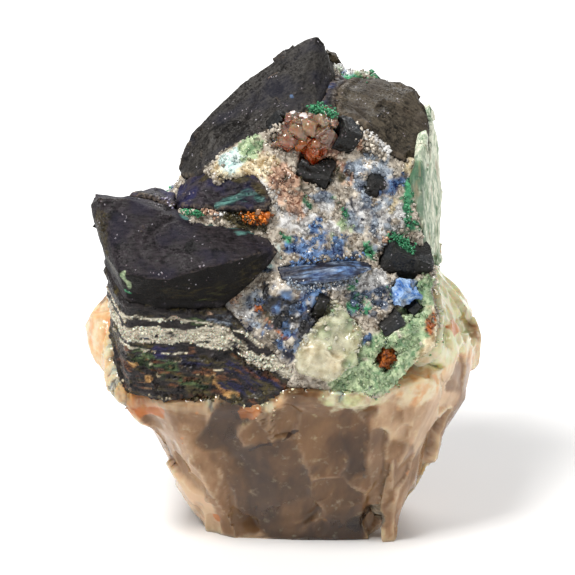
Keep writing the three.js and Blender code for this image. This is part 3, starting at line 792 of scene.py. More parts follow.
# Where each mineral lies in the crust: half width, strength, places.
CRUST_PAINT = {
    "cream": [
        (1.3, 0.85, [(-5.4, -6.5, 35.2), (-3, -6.3, 35.8)]),
        (1.1, 0.8, [(-2, -7, 34.8), (-1.6, -6.6, 35.5)]),
        (0.9, 0.7, [(8.9, -6.2, 31.5), (10.1, -6, 31.2)]),
        (0.6, 0.6, [(11, -4.5, 35.6), (11.2, -5, 34.6)]),
        (1.2, 1.1, [(12.9, -9.2, 23), (12.6, -10.6, 20.6), (11.6, -11.4, 18.6), (9.4, -12, 16.6)]),
    ],
    "pink": [
        (1.3, 0.75, [(-0.9, -6.7, 35.3), (-0.1, -7.7, 33.5), (0.9, -8, 32.5)]),
        (0.4, 0.8, [(-2.1, -5.8, 36.8)]), (1.1, 0.7, [(1.4, -7.5, 33.1), (1.2, -6.8, 34.4)]),
        (1.1, 0.6, [(4.3, -5.1, 35.9), (6, -5.7, 34.6)]),
        (0.5, 0.9, [(-7.2, -8.3, 32.3), (-6.1, -8.5, 31.8)]),
        (0.5, 0.6, [(-5, -10.6, 24.9), (-4.4, -10.9, 24.6)]),
    ],
    "umber": [
        (0.8, 0.45, [(0.5, -7.2, 34.6), (1.8, -7.2, 34)]),
        (0.7, 0.5, [(4.2, -5.6, 35.2), (5, -5.7, 34.4)]),
        (1.0, 0.95, [(-4.6, -8.7, 31.5), (-2.2, -9, 31.2)]),
        (0.3, 0.9, [(5, -8.3, 29.1), (5.9, -8.4, 28.1)]),
        (0.35, 0.9, [(-2.7, -11.5, 24.6), (-1, -11.9, 22.8), (0.6, -12.1, 21.4)]),
        (0.3, 0.6, [(0.4, -12, 22.2)]),
    ],
    "blue_grey": [
        (1.6, 0.7, [(7.3, -6.3, 32.4), (7.8, -6.6, 31.4), (6.5, -7.2, 30.8), (7.8, -7.3, 29.6)]),
        (1.4, 0.6, [(6.5, -5.7, 34.4), (8.4, -5.4, 35.2)]),
        (1.0, 0.5, [(4, -5.9, 33.3), (3.4, -6.8, 32.6)]),
        (1.2, 0.5, [(-2.4, -11.4, 23.4), (-3, -10.9, 24.4)]),
        (0.8, 0.5, [(5.8, -11, 22.6), (6.6, -11, 23.2)]),
    ],
    "ice": [
        (0.9, 0.85, [(-4.4, -6.1, 36), (-5, -6.3, 35.6)]),
        (0.7, 0.5, [(-0.7, -9.8, 28.8), (-1.4, -9.8, 27.7)]),
    ],
    "pale_green": [
        (0.4, 1.1, [(4.2, 4.6, 41.1), (5.2, 3.6, 40.7), (8, 1.2, 40.4)]),
        (0.8, 0.9, [(-2.8, -5.5, 37.2), (-3.3, -6.1, 36.4)]),
        (0.9, 0.7, [(4.5, -8.3, 29.6), (5.2, -8, 30)]), (0.5, 0.6, [(-1.6, -9.4, 29.2)]),
        (1.3, 0.8, [(9.3, -11.4, 20.9), (7.2, -11.5, 20.4)]),
        (1.6, 1.2, [(5.6, -12.5, 17.4), (7.2, -12.5, 17.4), (9, -12, 18)]),
        (1.4, 1.1, [(12.4, -8.6, 24.4)]),
        (1.4, 1.2, [(9, -11.9, 18.8), (11.2, -10.6, 20.8), (11.6, -9.8, 22.6)]),
        (0.6, 0.6, [(6.8, -9.6, 25.7)]), (0.9, 0.7, [(6.7, -11.2, 19.8)]),
    ],
    "white": [
        (0.9, 0.85, [(0.4, -8.8, 30.9), (1.4, -8.7, 30.5)]),
        (0.8, 0.7, [(10.2, -6, 31.1), (10.7, -6.1, 30.4)]),
        (0.3, 0.9, [(-1.8, -7.3, 34.4), (-1.1, -8.2, 32.9), (-0.5, -8.8, 31.4), (0.7, -9, 30.2)]),
        (0.8, 0.7, [(2, -11.3, 26), (5.3, -10.6, 26), (8.2, -9.3, 26)]), (0.8, 0.6, [(4, -8.2, 30.4)]),
        (1.2, 0.55, [(6.6, -6.6, 31.6), (8.2, -6.8, 30.4), (9.4, -7, 29.8)]),
        (1, 0.5, [(2.4, -8, 31.6), (3.6, -7.4, 32.2)]),
        (0.7, 0.7, [(-4.7, -10.6, 23.9), (-3.5, -11.5, 23.6)]),
        (0.5, 0.5, [(-3.3, -10.9, 24.5), (0.6, -11.1, 26.2)]),
        (0.5, 0.7, [(-0.4, -12.1, 22.2), (0.3, -12, 22.6)]), (0.5, 0.6, [(1.4, -11.7, 23.4)]),
    ],
    "slate": [
        (1.7, 0.6, [(-1.2, -11.5, 24.4), (0.9, -11.7, 23.6), (1.6, -11.8, 22.4)]),
        (1.2, 0.5, [(0.2, -12.2, 20.6), (1.4, -11.9, 21.8)]),
        (0.7, 0.6, [(4.4, -8.2, 29), (6, -8.4, 28.4)]),
        (1.3, 0.6, [(6.2, -10.6, 23.9), (8, -10.2, 24.4)]),
        (0.7, 0.5, [(-1.7, -9.6, 27.3), (-0.6, -10, 27.6)]),
    ],
    "azurite": [
        (0.9, 0.8, [(0.7, -9.4, 29.2), (1.4, -9.4, 28.7), (2.7, -8.6, 29.9)]),
        (0.9, 0.75, [(2.6, -9, 29), (3.5, -9, 28.4), (4.4, -8.7, 28.7)]),
        (0.9, 0.5, [(9.1, -5.7, 32.9), (9.7, -5.3, 33.6), (8.6, -5.3, 33.5)]),
        (0.4, 0.5, [(3, -8.1, 31)]),
        (1.5, 0.55, [(-0.8, -11.6, 24.6), (0.9, -11.7, 23.9), (2, -11.4, 24.7)]),
        (1.2, 0.55, [(0.4, -12.2, 20.9), (1.6, -11.9, 22.3)]),
        (0.6, 0.6, [(-2, -12, 22), (-1.2, -12.1, 21.4)]),
        (0.35, 0.85, [(6.2, -12.3, 20.6), (7.4, -11.6, 21.2), (8.9, -10.8, 20.9)]),
    ],
    "malachite": [
        (0.4, 0.95, [(2.4, -7.7, 32.2), (1.9, -7.7, 32.6)]),
        (0.35, 0.8, [(-0.2, -9.3, 30), (0.3, -9.3, 29.7)]),
        (0.15, 0.8, [(4.2, -7, 32.9), (5, -7.3, 31.7), (5.6, -7.4, 31)]),
        (0.9, 0.6, [(6, -10.4, 24.4), (7.1, -10.6, 23.9)]),
        (0.35, 0.9, [(7.1, -7.9, 28.4), (7.7, -8.2, 27.6)]),
        (0.4, 0.7, [(6, -9.8, 25.9), (5.8, -10.4, 24.6)]),
        (0.45, 1.0, [(10.8, -5.3, 33.6), (10.9, -5.7, 32), (11.2, -6.2, 29.6)]),
        (0.5, 0.5, [(9.1, -9.5, 24.7)]),
        (0.6, 1.0, [(5.6, 2.6, 40.4), (6.6, 2.2, 40.1), (7.4, 1.6, 40.1)]),
    ],
    "rust": [
        (0.22, 0.7, [(-2.5, -11.7, 24.2), (-1.2, -12, 22.4), (0.3, -12.1, 21.2)]),
        (0.3, 0.5, [(-4.6, -10.9, 24.4)]), (0.25, 0.7, [(-2, -12.4, 19.9)]),
        (0.7, 0.6, [(12.8, -9.4, 22.2), (12.6, -10.2, 21.2)]),
    ],
    "black": [(1.7, 0.4, [(-1.2, -11.5, 24.4), (1.2, -11.8, 22.6), (0.4, -12.2, 20.8)])],
    "orange": [
        (0.5, 1.0, [(-3.4, -8.8, 31.7), (-2.8, -9, 31.5)]),
        (0.4, 1.0, [(-1.9, -8.9, 31.7), (-1.9, -9, 31.2)]),
    ],
    "ink": [
        (0.5, 0.9, [(3.6, 3, 40.9), (4.8, 1.8, 40.5)]),
        (0.12, 0.9, [(5, -6.1, 34.2), (5.6, -6.7, 32.8), (6, -7.1, 31.6), (6.8, -7.6, 29.6),
                     (7.5, -7.7, 28.4)]),
        (0.42, 1.2, [(2.7, -11.7, 23.9), (2.1, -11.9, 22.3), (1.3, -11.5, 20.6), (0.4, -12.4, 19.4),
                     (-0.5, -12.6, 18.3)]),
        (0.34, 1.1, [(-4.6, -11.9, 22.6), (-3.1, -12.2, 21.7), (-1.8, -12.4, 20.4), (-1, -12.5, 19.4)]),
        (0.12, 0.9, [(5.7, -12.6, 17.6), (7.4, -12.5, 17), (8.6, -12.1, 16.4), (9.3, -11.8, 16.7)]),
        (0.25, 0.9, [(0.2, -12.6, 18), (1.9, -12.4, 18.9)]),
        (0.1, 0.9, [(-1.5, -12.8, 17.4), (-0.5, -12.8, 16.4)]),
    ],
}
# The seeds of the patches on the crust's back, where hardly anything is painted.
WILD = {"azurite": 410, "malachite": 420, "white": 430, "pale_green": 440, "cream": 450, "pink": 460}
# Where the crust has few grains, next to the quartz.
BARE = [(1.2, 0.8, [(12.9, -9.2, 23), (12.6, -10.6, 20.6), (11, -11.6, 17.6)])]
# How many grains are tried: those that would be buried are left out.
GRAINS = 12500  # for each of the crust's two meshes of fine grains
LARGE_GRAINS = 700


def make_crust():
    skin = Skin("mineral_crust", cell=0.28, swell=0.05)
    p = skin.points
    skin.push(0.3 * layered(p, 3, 300) + 0.2 * layered(p, 0.9, 310))
    chances = {name: painted(skin.points, strokes) for name, strokes in CRUST_PAINT.items()}
    rest = rise(p[:, 1], -4.5, -1)
    for name, seed in WILD.items():
        wild = 0.7 * rise(layered(p, 4.5, seed), 0.0, 0.5)
        chances[name] = np.maximum(chances[name], wild * rest)
    glassy = dict(Subsurface_Weight=0.3, Subsurface_Radius=(1, 1, 1), Subsurface_Scale=0.35 * MM)
    grain = loose("crust_grains", list(CRUST_PAINT), Transmission_Weight=0.3, **glassy)
    bare = painted(skin.points, BARE)
    clear = 1.01 - np.minimum(chances["ink"] + bare, 1)
    rng = np.random.default_rng(330)

    def sprinkle(name, count, low, high, power, seed):
        """Grains of the minerals that the crust has where they lie."""
        spots, at = scatter(skin, count, clear, seed)
        sizes = low + (high - low) * rng.uniform(size=len(spots)) ** power
        jitter = rng.normal(scale=0.12, size=len(spots))
        near = patches(spots, {key: chance[at] for key, chance in chances.items()}, jitter=jitter)
        spots = spots + rng.normal(scale=0.07, size=spots.shape)
        add_grains(name, spots, sizes, seed + 20, grain, near)

    for i in range(2):
        sprinkle(f"crust_fine_grains_{i}", GRAINS, 0.16, 0.42, 1.5, 320 + i)
    sprinkle("crust_large_grains", LARGE_GRAINS, 0.45, 0.9, 3, 325)
    skin.masks = patches(skin.points, chances)
    skin.make(sugary("crust", list(CRUST_PAINT), 0.3, **glassy))


# ---------------------------------------------------------------- veins, lumps and coloured crystals

LENS_GRAIN = (1, 0.1, 0.15)  # the way the azurite lens's fibres run
MILKY_LENS = [(2.6, -13, 19.4), (3.4, -13, 19)]  # the smooth round place low in the milky lump
MILKY_GRAINS = 900


def make_azurite_lens():
    skin = Skin("azurite_lens", cell=0.1, swell=-0.05, bridge=0.15)
    p = skin.points
    fibres = drawn_out(warped(p, 2, 0.3, 500), LENS_GRAIN, 8)
    skin.push(0.12 * layered(fibres, 0.5, 505, 3))
    left = rise(p[:, 0], 2.5, -1)
    chances = {"azurite": 0.55 - 0.4 * left, "blue_grey": np.full(len(p), 0.22), "ink": 0.4 + 0.35 * left}
    skin.masks = patches(fibres, chances, 0.5, 0.2)
    n = Nodes("azurite_lens")
    streaks = n.noise(0.16, 5, n.along(LENS_GRAIN, 7))
    tone = n.times(n.rise(streaks, 0.3, 0.7), n.rise(n.noise(0.7, 4), 0.35, 0.65, 0.3, 1))
    total = mineral_mix(n, chances, tone, "slate")
    n.set(Base_Color=total, Normal=n.bump(streaks, 0.06, n.tilted(n.grains(0.13), 0.3)), Roughness=0.5)
    skin.make(n.material)


def make_coloured_crystals():
    skin = Skin("blue_crystal", cell=0.09, swell=-0.05, bridge=0.1)
    skin.flake(60, 0.8, 0.2, 510, 0.6)
    skin.masks = patches(skin.points, {"blue_grey": np.full(len(skin.points), 0.35)}, 0.5)
    skin.make(sugary("blue_crystal", ["blue_grey"], 0.25, base="bright_blue"))

    skin = Skin("rust_crystal", cell=0.09, swell=-0.15, bridge=0)
    skin.flake(40, 1.0, 0.2, 520, 0.5)
    skin.masks = patches(skin.points, {"umber": np.full(len(skin.points), 0.3)}, 0.6)
    skin.make(sugary("rust_crystal", ["umber"], 0.22, base="rust"))


def make_milky_lump():
    """Cloudy crystals round a smooth, clear lens."""
    skin = Skin("milky_lump", cell=0.13, swell=0.05, bridge=0.25)
    lens = rise(distance(skin.points, MILKY_LENS), 2.1, 1.3)
    skin.push(0.35 * lens)
    skin.flake(70, 1.5, 0.22, 530, 0.5, where=1.02 - lens)
    skin.flake(90, 0.6, 0.1, 535, 0.6, where=1.02 - lens)
    p = skin.points
    chances = {"pale_green": 0.4 - 0.35 * lens, "cream": np.full(len(p), 0.3)}
    rng = np.random.default_rng(538)
    border = rise(heights(p, skin.others), 0.9, 0.1)
    spots, at = scatter(skin, MILKY_GRAINS, (0.15 + border) * (1 - lens) + 1e-9, 539)
    sizes = rng.uniform(0.2, 0.45, len(spots))
    near = patches(spots, {name: chance[at] for name, chance in chances.items()})
    cloudy = dict(Subsurface_Weight=0.8, Subsurface_Radius=(1, 0.95, 0.85), Subsurface_Scale=0.8 * MM)
    grain = loose("milky_grains", chances, "milk", Transmission_Weight=0.2, **cloudy)
    add_grains("milky_grains", spots, sizes, 541, grain, near)
    skin.masks = patches(p, chances, 1.5, 0.6)
    n = Nodes("milky_lump")
    tone = n.add(n.rise(n.noise(0.9, 5), 0.3, 0.7, 0, 0.7), n.times(n.mask("tone"), 0.25))
    n.set(Base_Color=mineral_mix(n, chances, tone, "milk"),
          Roughness=n.rise(n.noise(0.5, 3), 0.4, 0.6, 0.08, 0.35), Transmission_Weight=0.2, **cloudy)
    skin.make(n.material)


UP = (0, 0, 1)
VEIN = ((118, 148, 114), (242, 244, 222))
DEEP_GREEN = (30, 84, 62)
DEEP_PLACES = [(11.6, -5.4, 34.5), (11.5, -5.8, 31), (11.6, -6.4, 28)]  # down the vein's front edge
# Streaks in the vein: size, detail, how drawn out, where they start and are full, their share and colour.
VEIN_STREAKS = [
    (0.1, 4, 9, 0.56, 0.66, 0.6, (92, 112, 84)),
    (1.4, 6, 2, 0.52, 0.68, 0.7, (84, 122, 92)),
    (1.1, 6, 3, 0.56, 0.68, 0.6, (150, 132, 104)),
]


def make_side_vein():
    skin = Skin("side_vein", cell=0.19)
    p = skin.points
    upright = drawn_out(p, UP, 7)
    fibrous = 0.25 * layered(upright, 0.8, 550, 3)
    skin.push(fibrous + 0.2 * layered(p, 2.4, 555) + 0.06 * noise(p, 0.35, 557))
    skin.flake(60, 2, 0.25, 558, 0.4, (1, 1, 3), where=rise(skin.edges(), 0, 0.2) + 0.02)
    skin.masks["deep"] = painted(skin.points, [(0.9, 0.9, DEEP_PLACES)], 0.4)
    n = Nodes("side_vein")
    fibres = n.noise(0.18, 6, n.along(UP, 12))
    cloud = n.noise(1.6, 5, n.along(UP, 2))
    total = n.mix(n.rise(n.add(fibres, cloud), 0.8, 1.15), *VEIN)
    deep = n.add(n.mask("deep"), n.spread(fibres, 2.5))
    total = n.mix(n.rise(deep, 0.3, 0.8, 0, 0.8), total, DEEP_GREEN)
    for size, detail, times, low, high, share, rgb in VEIN_STREAKS:
        streak = n.noise(size, detail, n.along(UP, times))
        total = n.mix(n.rise(streak, low, high, 0, share), total, rgb)
    n.set(Base_Color=total, Roughness=0.5, Normal=n.bump(fibres, 0.1, n.tilted(n.grains(0.14), 0.4)))
    skin.make(n.material)


# Small crystals that stand out of the crust: mineral, slot, how many, size, spread, places.
CLUSTERS = [
    ("malachite", "malachite", 500, 0.2, 0.2, [(2.4, -3.6, 39.9), (3.3, -4.5, 40.1), (4.4, -5.2, 39.8)]),
    ("malachite", "malachite", 260, 0.2, 0.14, [(-8.9, -8.3, 31.9), (-7.5, -8.8, 31.9)]),
    ("malachite", "malachite", 560, 0.2, 0.26, [(9.5, -7.4, 29), (10.4, -7.8, 28.6), (11.1, -7.8, 27.9)]),
    ("malachite", "malachite", 160, 0.2, 0.2, [(5.8, 3, 39.9), (7.2, 1.6, 40)]),
    ("pink", "mineral_crust", 60, 0.3, 0.2, [(-7.2, -8.5, 32.1), (-6, -8.7, 31.8)]),
    ("pink", "mineral_crust", 24, 0.25, 0.18, [(9, -7.5, 28.9)]),
    ("white", "mineral_crust", 24, 0.25, 0.12, [(-6.2, -8.8, 31.9), (-5.4, -8.8, 31.9)]),
    ("umber", "mineral_crust", 160, 0.25, 0.28, [(-4.6, -8.9, 31.5), (-2.2, -9.1, 31.4)]),
    ("orange", "rust", 130, 0.22, 0.22, [(-3.4, -9.1, 31.7), (-2.8, -9.1, 31.5)]),
    ("orange", "rust", 60, 0.22, 0.14, [(-1.9, -9.1, 31.8), (-1.9, -9.1, 31.3)]),
    ("quartz", "mineral_crust", 260, 0.34, 0.25,
     [(6.2, -4.6, 38.2), (7, -4.9, 37.6), (7.9, -4.9, 36.9), (8.9, -5, 36.1)]),
    ("pink", "mineral_crust", 120, 0.32, 0.25, [(5.8, -4.8, 37.8), (6.6, -5, 36.9)]),
    ("white", "mineral_crust", 90, 0.34, 0.2, [(7.2, -4.7, 38), (8.2, -4.9, 37.1), (9.2, -5, 36.2)]),
    ("quartz", "mineral_crust", 40, 0.3, 0.25, [(-0.4, -5.7, 39), (-1.4, -5.8, 38.2)]),
    ("violet", "mineral_crust", 90, 0.24, 0.22,
     [(-12.6, -3.4, 31), (-11.3, -6.1, 32.1), (-10, -6.6, 31.9)]),
    ("white", "mineral_crust", 60, 0.22, 0.2, [(-11.6, -5, 31.8), (-9.9, -6.7, 31.9)]),
    ("azurite", "azurite", 260, 0.24, 0.2,
     [(0.4, -10.2, 27.6), (2.2, -9.8, 27.8), (4, -9, 27.6), (7.2, -8.4, 27.7)]),
    ("blue_grey", "mineral_crust", 220, 0.24, 0.2,
     [(0, -11.1, 26.3), (1.8, -11.4, 26), (4, -10.6, 25.9), (6.4, -10, 26)]),
    ("white", "mineral_crust", 50, 0.22, 0.3,
     [(-0.6, -10.6, 26.9), (1.8, -11.4, 25.7), (5, -10.6, 25.7)]),
    # Dark grains along the foot of the banded block, where it meets the quartz: partly the ore's own umber,
    # partly a painted shadow of the seam.
    ("umber", "banded_ore", 420, 0.26, 0.16,
     [(-11.5, -11.4, 15.9), (-7.5, -12, 15.5), (-4.4, -12.7, 15.6), (-1.6, -12.8, 16.2)]),
]


def make_clusters():
    rng = np.random.default_rng(600)
    for i, (mineral, slot, count, size, spread, line) in enumerate(CLUSTERS):
        line = np.array(line, float)
        spots = line[0] + np.zeros((count, 3))
        if len(line) > 1:
            share = rng.uniform(0, len(line) - 1, count)
            part = np.minimum(share.astype(int), len(line) - 2)
            spots = line[part] + (share - part)[:, None] * (line[part + 1] - line[part])
        spots = spots + rng.normal(scale=spread, size=spots.shape)
        name = f"cluster_{mineral}_{i}"
        material = loose(name, [], mineral)
        add_grains(name, spots, size * rng.uniform(0.6, 1.3, count), 610 + i, material, {})


# ---------------------------------------------------------------- the banded block

BED_TURN = -4.5  # where the bands start to drop to the right
BED_SLOPE = 0.52  # and how steeply
BULGE = -6.3  # where the white band is thickest
BAND_SOFT = 0.1  # half the width of a band's soft border
BAND_GRAINS = 1300
# Where the block has other minerals than its bands: half width, strength, places.
BLOCK_PAINT = {
    "moss": [
        (1.0, 0.6, [(-12.8, -11.8, 19.4), (-10.6, -12, 18.4)]),
        (0.5, 0.9, [(-9.3, -12, 17.5), (-7.2, -12.3, 17.2)]),
        (0.4, 0.6, [(-8.9, -12, 23), (-7.1, -12.1, 22.9)]),
    ],
    "ochre": [
        (0.4, 0.8, [(-12.3, -11.9, 17.4)]), (0.5, 0.5, [(-13.5, -11.8, 18.6)]),
        (0.5, 1.0, [(-6.6, -12.3, 17.9), (-5.6, -12.4, 17.1), (-4.5, -12.6, 16.3)]),
    ],
    "cream": [
        (0.3, 0.8, [(-9.2, -12, 18.7), (-8.3, -12, 18.4)]), (0.25, 0.7, [(-12, -11.8, 19)]),
        (0.3, 0.7, [(-11.2, -12, 17.8)]), (0.15, 0.6, [(-6, -12.3, 19.2), (-4.6, -12.5, 18.4)]),
    ],
    "blue_grey": [
        (0.4, 0.5, [(-12.4, -11.9, 21.5), (-11, -11.9, 21.3)]),
        (0.6, 0.4, [(-5, -12.2, 23), (-6.4, -12, 23.4)]),
    ],
    "indigo": [
        (1.4, 0.7, [(-4.6, -12.6, 17.8), (-1.5, -12.7, 17.9)]),
        (0.7, 0.6, [(-11, -11.9, 20), (-7, -12.2, 19.2)]),
    ],
    "pink": [(0.3, 0.6, [(-6.6, -12, 23.6)]), (0.25, 0.5, [(-10, -11.9, 23.6)])],
}


def bed(points):
    """The height in the bands of each point: level at the left, and dropping to the right."""
    x = points[:, 0] - BED_TURN
    return points[:, 2] + BED_SLOPE * np.logaddexp(0, x / 1.2) * 1.2 + 0.06 * points[:, 0]


def make_banded_block():
    skin = Skin("banded_block", cell=0.14)
    p = skin.points
    skin.flake(60, 3, 0.15, 600, 0.3)
    level = bed(warped(p, 2.5, 0.3, 605))
    flat = np.stack([p[:, 0] / 4, p[:, 1] / 4, level], 1)
    skin.push(0.22 * layered(flat, 0.4, 610, 3) + 0.12 * layered(p, 0.6, 620, 3))
    ragged = level + 0.35 * layered(flat, 0.7, 640) + 0.12 * noise(p, 0.4, 645)
    left = rise(p[:, 0], -8, -10)
    bulge = np.exp(-(((p[:, 0] - BULGE) / 1.7) ** 2))

    def band(low, high):
        above = rise(ragged, low - BAND_SOFT, low + BAND_SOFT)
        return above * rise(ragged, high + BAND_SOFT, high - BAND_SOFT)

    chances = {name: painted(p, strokes) for name, strokes in BLOCK_PAINT.items()}
    dark = rise(ragged, 20.4, 20)
    chances["umber"] = 0.3 * dark + 0.35 * rise(ragged, 21.9, 22.2)
    chances["rust_brown"] = 0.2 * dark
    chances["white"] = np.maximum.reduce([
        0.9 * band(22.15, 22.4), 0.95 * band(20.25, 21.4 + 0.7 * bulge), 0.9 * left * band(19.45, 19.6)])
    chances["white"] *= 1 - 0.45 * rise(layered(flat, 0.28, 660, 2), 0.05, 0.3)
    thin = rise(np.abs(np.sin(5 * ragged)), 0.25, 0.05) * rise(layered(flat, 0.8, 665), -0.1, 0.3)
    chances["cream"] = np.maximum(chances["cream"], 0.7 * thin * rise(p[:, 0], -1, -4) * dark)
    skin.masks = patches(flat, chances, 0.35, 0.15)
    quartz = chances["white"] * skin.masks["white"]
    spots, _ = scatter(skin, BAND_GRAINS, quartz + 1e-6, 650)
    grain = loose("band_grains", [], "band_white", Subsurface_Weight=0.3, Subsurface_Scale=0.3 * MM)
    add_grains("band_grains", spots, np.random.default_rng(651).uniform(0.12, 0.3, len(spots)), 652, grain,
               {})
    n = Nodes("banded_block")
    place = n.vector("MULTIPLY", n.place, (0.4, 0.4, 1.2))
    tone, _, gloss = n.split(n.grains(0.16, n.vector("ADD", place, n.noise(0.5, 2, output="Color"))))
    tone = n.add(n.times(tone, 0.6), n.rise(n.noise(0.35, 5, place), 0.3, 0.7, -0.2, 0.5))
    names = [name for name in chances if name != "white"]
    total = mineral_mix(n, names, tone, "banded")
    total = n.mix(n.mask("white"), total, n.mix(tone, *MINERALS["band_white"]))
    n.set(Base_Color=total, Normal=n.tilted(n.grains(0.14), 0.45), Roughness=n.rise(gloss, 0, 1, 0.3, 0.7),
          Specular_IOR_Level=0.3)
    skin.make(n.material)


# ---------------------------------------------------------------- cuprite

# A painted highlight for the cuprite's edges.
CUPRITE_EDGE_HIGHLIGHT = (255, 236, 214)
# The colours of the cuprite, dark and light.
CUPRITE = {
    "brown": ((182, 122, 100), (250, 220, 202)),
    "red": ((216, 78, 24), (255, 158, 92)),
    "amber": ((200, 122, 80), (252, 208, 170)),
    "cream": ((214, 168, 128), (254, 232, 202)),
}
# Where it isn't brown: half width, strength, places.
CUPRITE_PAINT = {
    "red": [
        (1.0, 1.0, [(1.3, -6.1, 37.2), (2, -6.8, 37), (2.9, -6.5, 36.4)]),
        (0.5, 1.0, [(0.4, -6.1, 37.5)]), (0.5, 0.8, [(2.6, -7, 37.5)]),
    ],
    "amber": [
        (0.9, 0.9, [(1.3, -6.3, 39.1), (1, -6.3, 38.6), (2.4, -6.1, 38.8)]),
        (0.6, 0.9, [(3.3, -6.3, 37.9)]),
    ],
    "cream": [(0.7, 0.7, [(3.5, -5.8, 39.6), (4, -5.8, 39.9)])],
}
SMALL_CUPRITE = 24
# The larger crystals that stand out of the cluster: size and place.
CUPRITE_CRYSTALS = [
    (1.7, (1.2, -6, 38.8)), (1.1, (0.3, -5.8, 38)), (1.1, (2.3, -6, 38.9)), (1.1, (1.5, -6.1, 37.5)),
    (1.0, (2.6, -6.5, 36.9)), (0.9, (3.3, -6.1, 38.2)), (0.9, (3.3, -5.5, 39.4)),
    (0.8, (0.5, -5.5, 39.7)), (0.8, (2.7, -6.7, 37.7)), (0.7, (0.3, -6, 37.3)),
]


def cuprite_material(name):
    """Clear crystal: brown, and red, amber or cream where painted, with a painted highlight along its
    edges.
    """
    n = Nodes(name)
    veil = n.add(n.rise(n.noise(0.7, 3), 0.3, 0.7, 0, 0.6), n.times(n.mask("tone"), 0.5))
    total = n.mix(veil, *CUPRITE["brown"])
    for key in CUPRITE_PAINT:
        total = n.mix(n.mask(key), total, n.mix(veil, *CUPRITE[key]))
    # Painted highlight: the edges are lightened towards pale cream.
    total = n.mix(n.times(n.mask("edge"), 0.7), total, CUPRITE_EDGE_HIGHLIGHT)
    n.set(Base_Color=total, Roughness=0.05, IOR=1.6, Transmission_Weight=0.75,
          Subsurface_Weight=0.6, Subsurface_Radius=(1, 0.4, 0.2), Subsurface_Scale=0.8 * MM)
    return n.material


def make_cuprite():
    material = cuprite_material("cuprite")
    skin = Skin("cuprite_cluster", cell=0.08, swell=-0.1, bridge=0.2)
    skin.flake(40, 4, 0.2, 700, 0.5)
    skin.flake(60, 0.8, 0.15, 705, 0.6)
    skin.masks = {name: painted(skin.points, strokes, 0.1) for name, strokes in CUPRITE_PAINT.items()}
    skin.masks["edge"] = rise(skin.edges(4), 0.02, 0.1)
    sizes, places = zip(*CUPRITE_CRYSTALS)
    spots, _ = scatter(skin, SMALL_CUPRITE, rise(skin.normals()[:, 1], 0.3, -0.3) + 1e-6, 712)
    places = np.concatenate([places, spots])
    sizes = np.append(sizes, np.random.default_rng(714).uniform(0.3, 0.6, len(spots)))
    masks = {name: painted(places, strokes, 0.1) for name, strokes in CUPRITE_PAINT.items()}
    add_grains("cuprite_crystals", places, sizes, 710, material, masks, BLOCK, BLOCK_FACES)
    skin.make(material)


# ---------------------------------------------------------------- quartz

# The quartz facets that face the front: half width, tone (0 dark to 1 pale), the ends of the middle line.
# Each tone is partly the quartz's own colour and partly painted light and shade, a facet made paler or
# darker as it catches the light.
QUARTZ_FACETS = [
    (2.2, 0.72, [(-9.3, -11.8, 14.8), (-9.4, -8.7, 8)]),
    (0.9, 1.05, [(-9.8, -7.5, 6.5), (-6.9, -6.5, 0.6)]),
    (1.1, 0.6, [(-7.4, -10.2, 9.1), (-4.4, -8.1, 2)]),
    (1.3, 0.42, [(-6.2, -10.3, 9.1), (-3.5, -8.7, 3.5)]),
    (1.4, 0.22, [(-6.9, -11, 11.3), (-4.4, -12.2, 13.9)]),
    (1.5, 0.6, [(-3.6, -11.8, 12.4), (0.1, -12.1, 12.9)]),
    (1.6, 0.32, [(-2.6, -11, 9.6), (-2.1, -9, 3.9)]), (1.5, 0.36, [(0.1, -11.3, 9.8), (0.4, -8.9, 2.9)]),
    (1.4, 0.3, [(5.1, -12.6, 16.4), (7.4, -12.2, 14.7)]),
    (1.5, 0.45, [(2.2, -12.4, 16), (4.3, -12.7, 15)]), (1.3, 0.34, [(5.8, -11.8, 12.9), (6, -10.4, 7.9)]),
    (1.6, 0.44, [(2.4, -12, 13), (4, -10.7, 8.5)]), (1.0, 0.55, [(8.1, -11.2, 12), (6.9, -10, 7)]),
    (2.2, 0.92, [(8.6, -11.9, 14.9), (12, -9.6, 12.4)]),
    (1.0, 0.65, [(9.7, -10.3, 10.2), (10.1, -9.2, 7.6)]), (1.3, 0.7, [(12.5, -6.4, 9.1), (12, -6, 6)]),
    (1.2, 0.72, [(10.7, -7.6, 4.6), (9.8, -8.4, 1.6)]), (0.7, 0.62, [(8.2, -9.3, 5.9), (8.4, -8.7, 4.2)]),
    (1.2, 0.3, [(3.1, -8.5, 1.7), (6, -8.6, 2.6)]), (1.2, 1.05, [(12.9, -8.5, 17.6), (14.3, -6.7, 13.6)]),
    (1.3, 0.38, [(3.9, -9.8, 6.2), (4.9, -9.4, 3.5)]), (0.9, 0.3, [(-5.3, -11.1, 11.1), (-4.2, -11, 9)]),
    (1.2, 0.7, [(14.6, -6.2, 14.4), (15.6, -4.8, 15.6)]),
]
# Lines pressed into the quartz: half width, depth, places.
QUARTZ_LINES = [
    (0.5, 0.5, [(7.6, -8.6, 5.2), (7.4, -8.4, 3), (7.2, -8.4, 0.8)]),
    (0.1, 0.15, [(-3.3, -11.1, 10.2), (-2.1, -11.5, 11), (-0.8, -11.6, 11.2), (1.3, -12, 12)]),
]
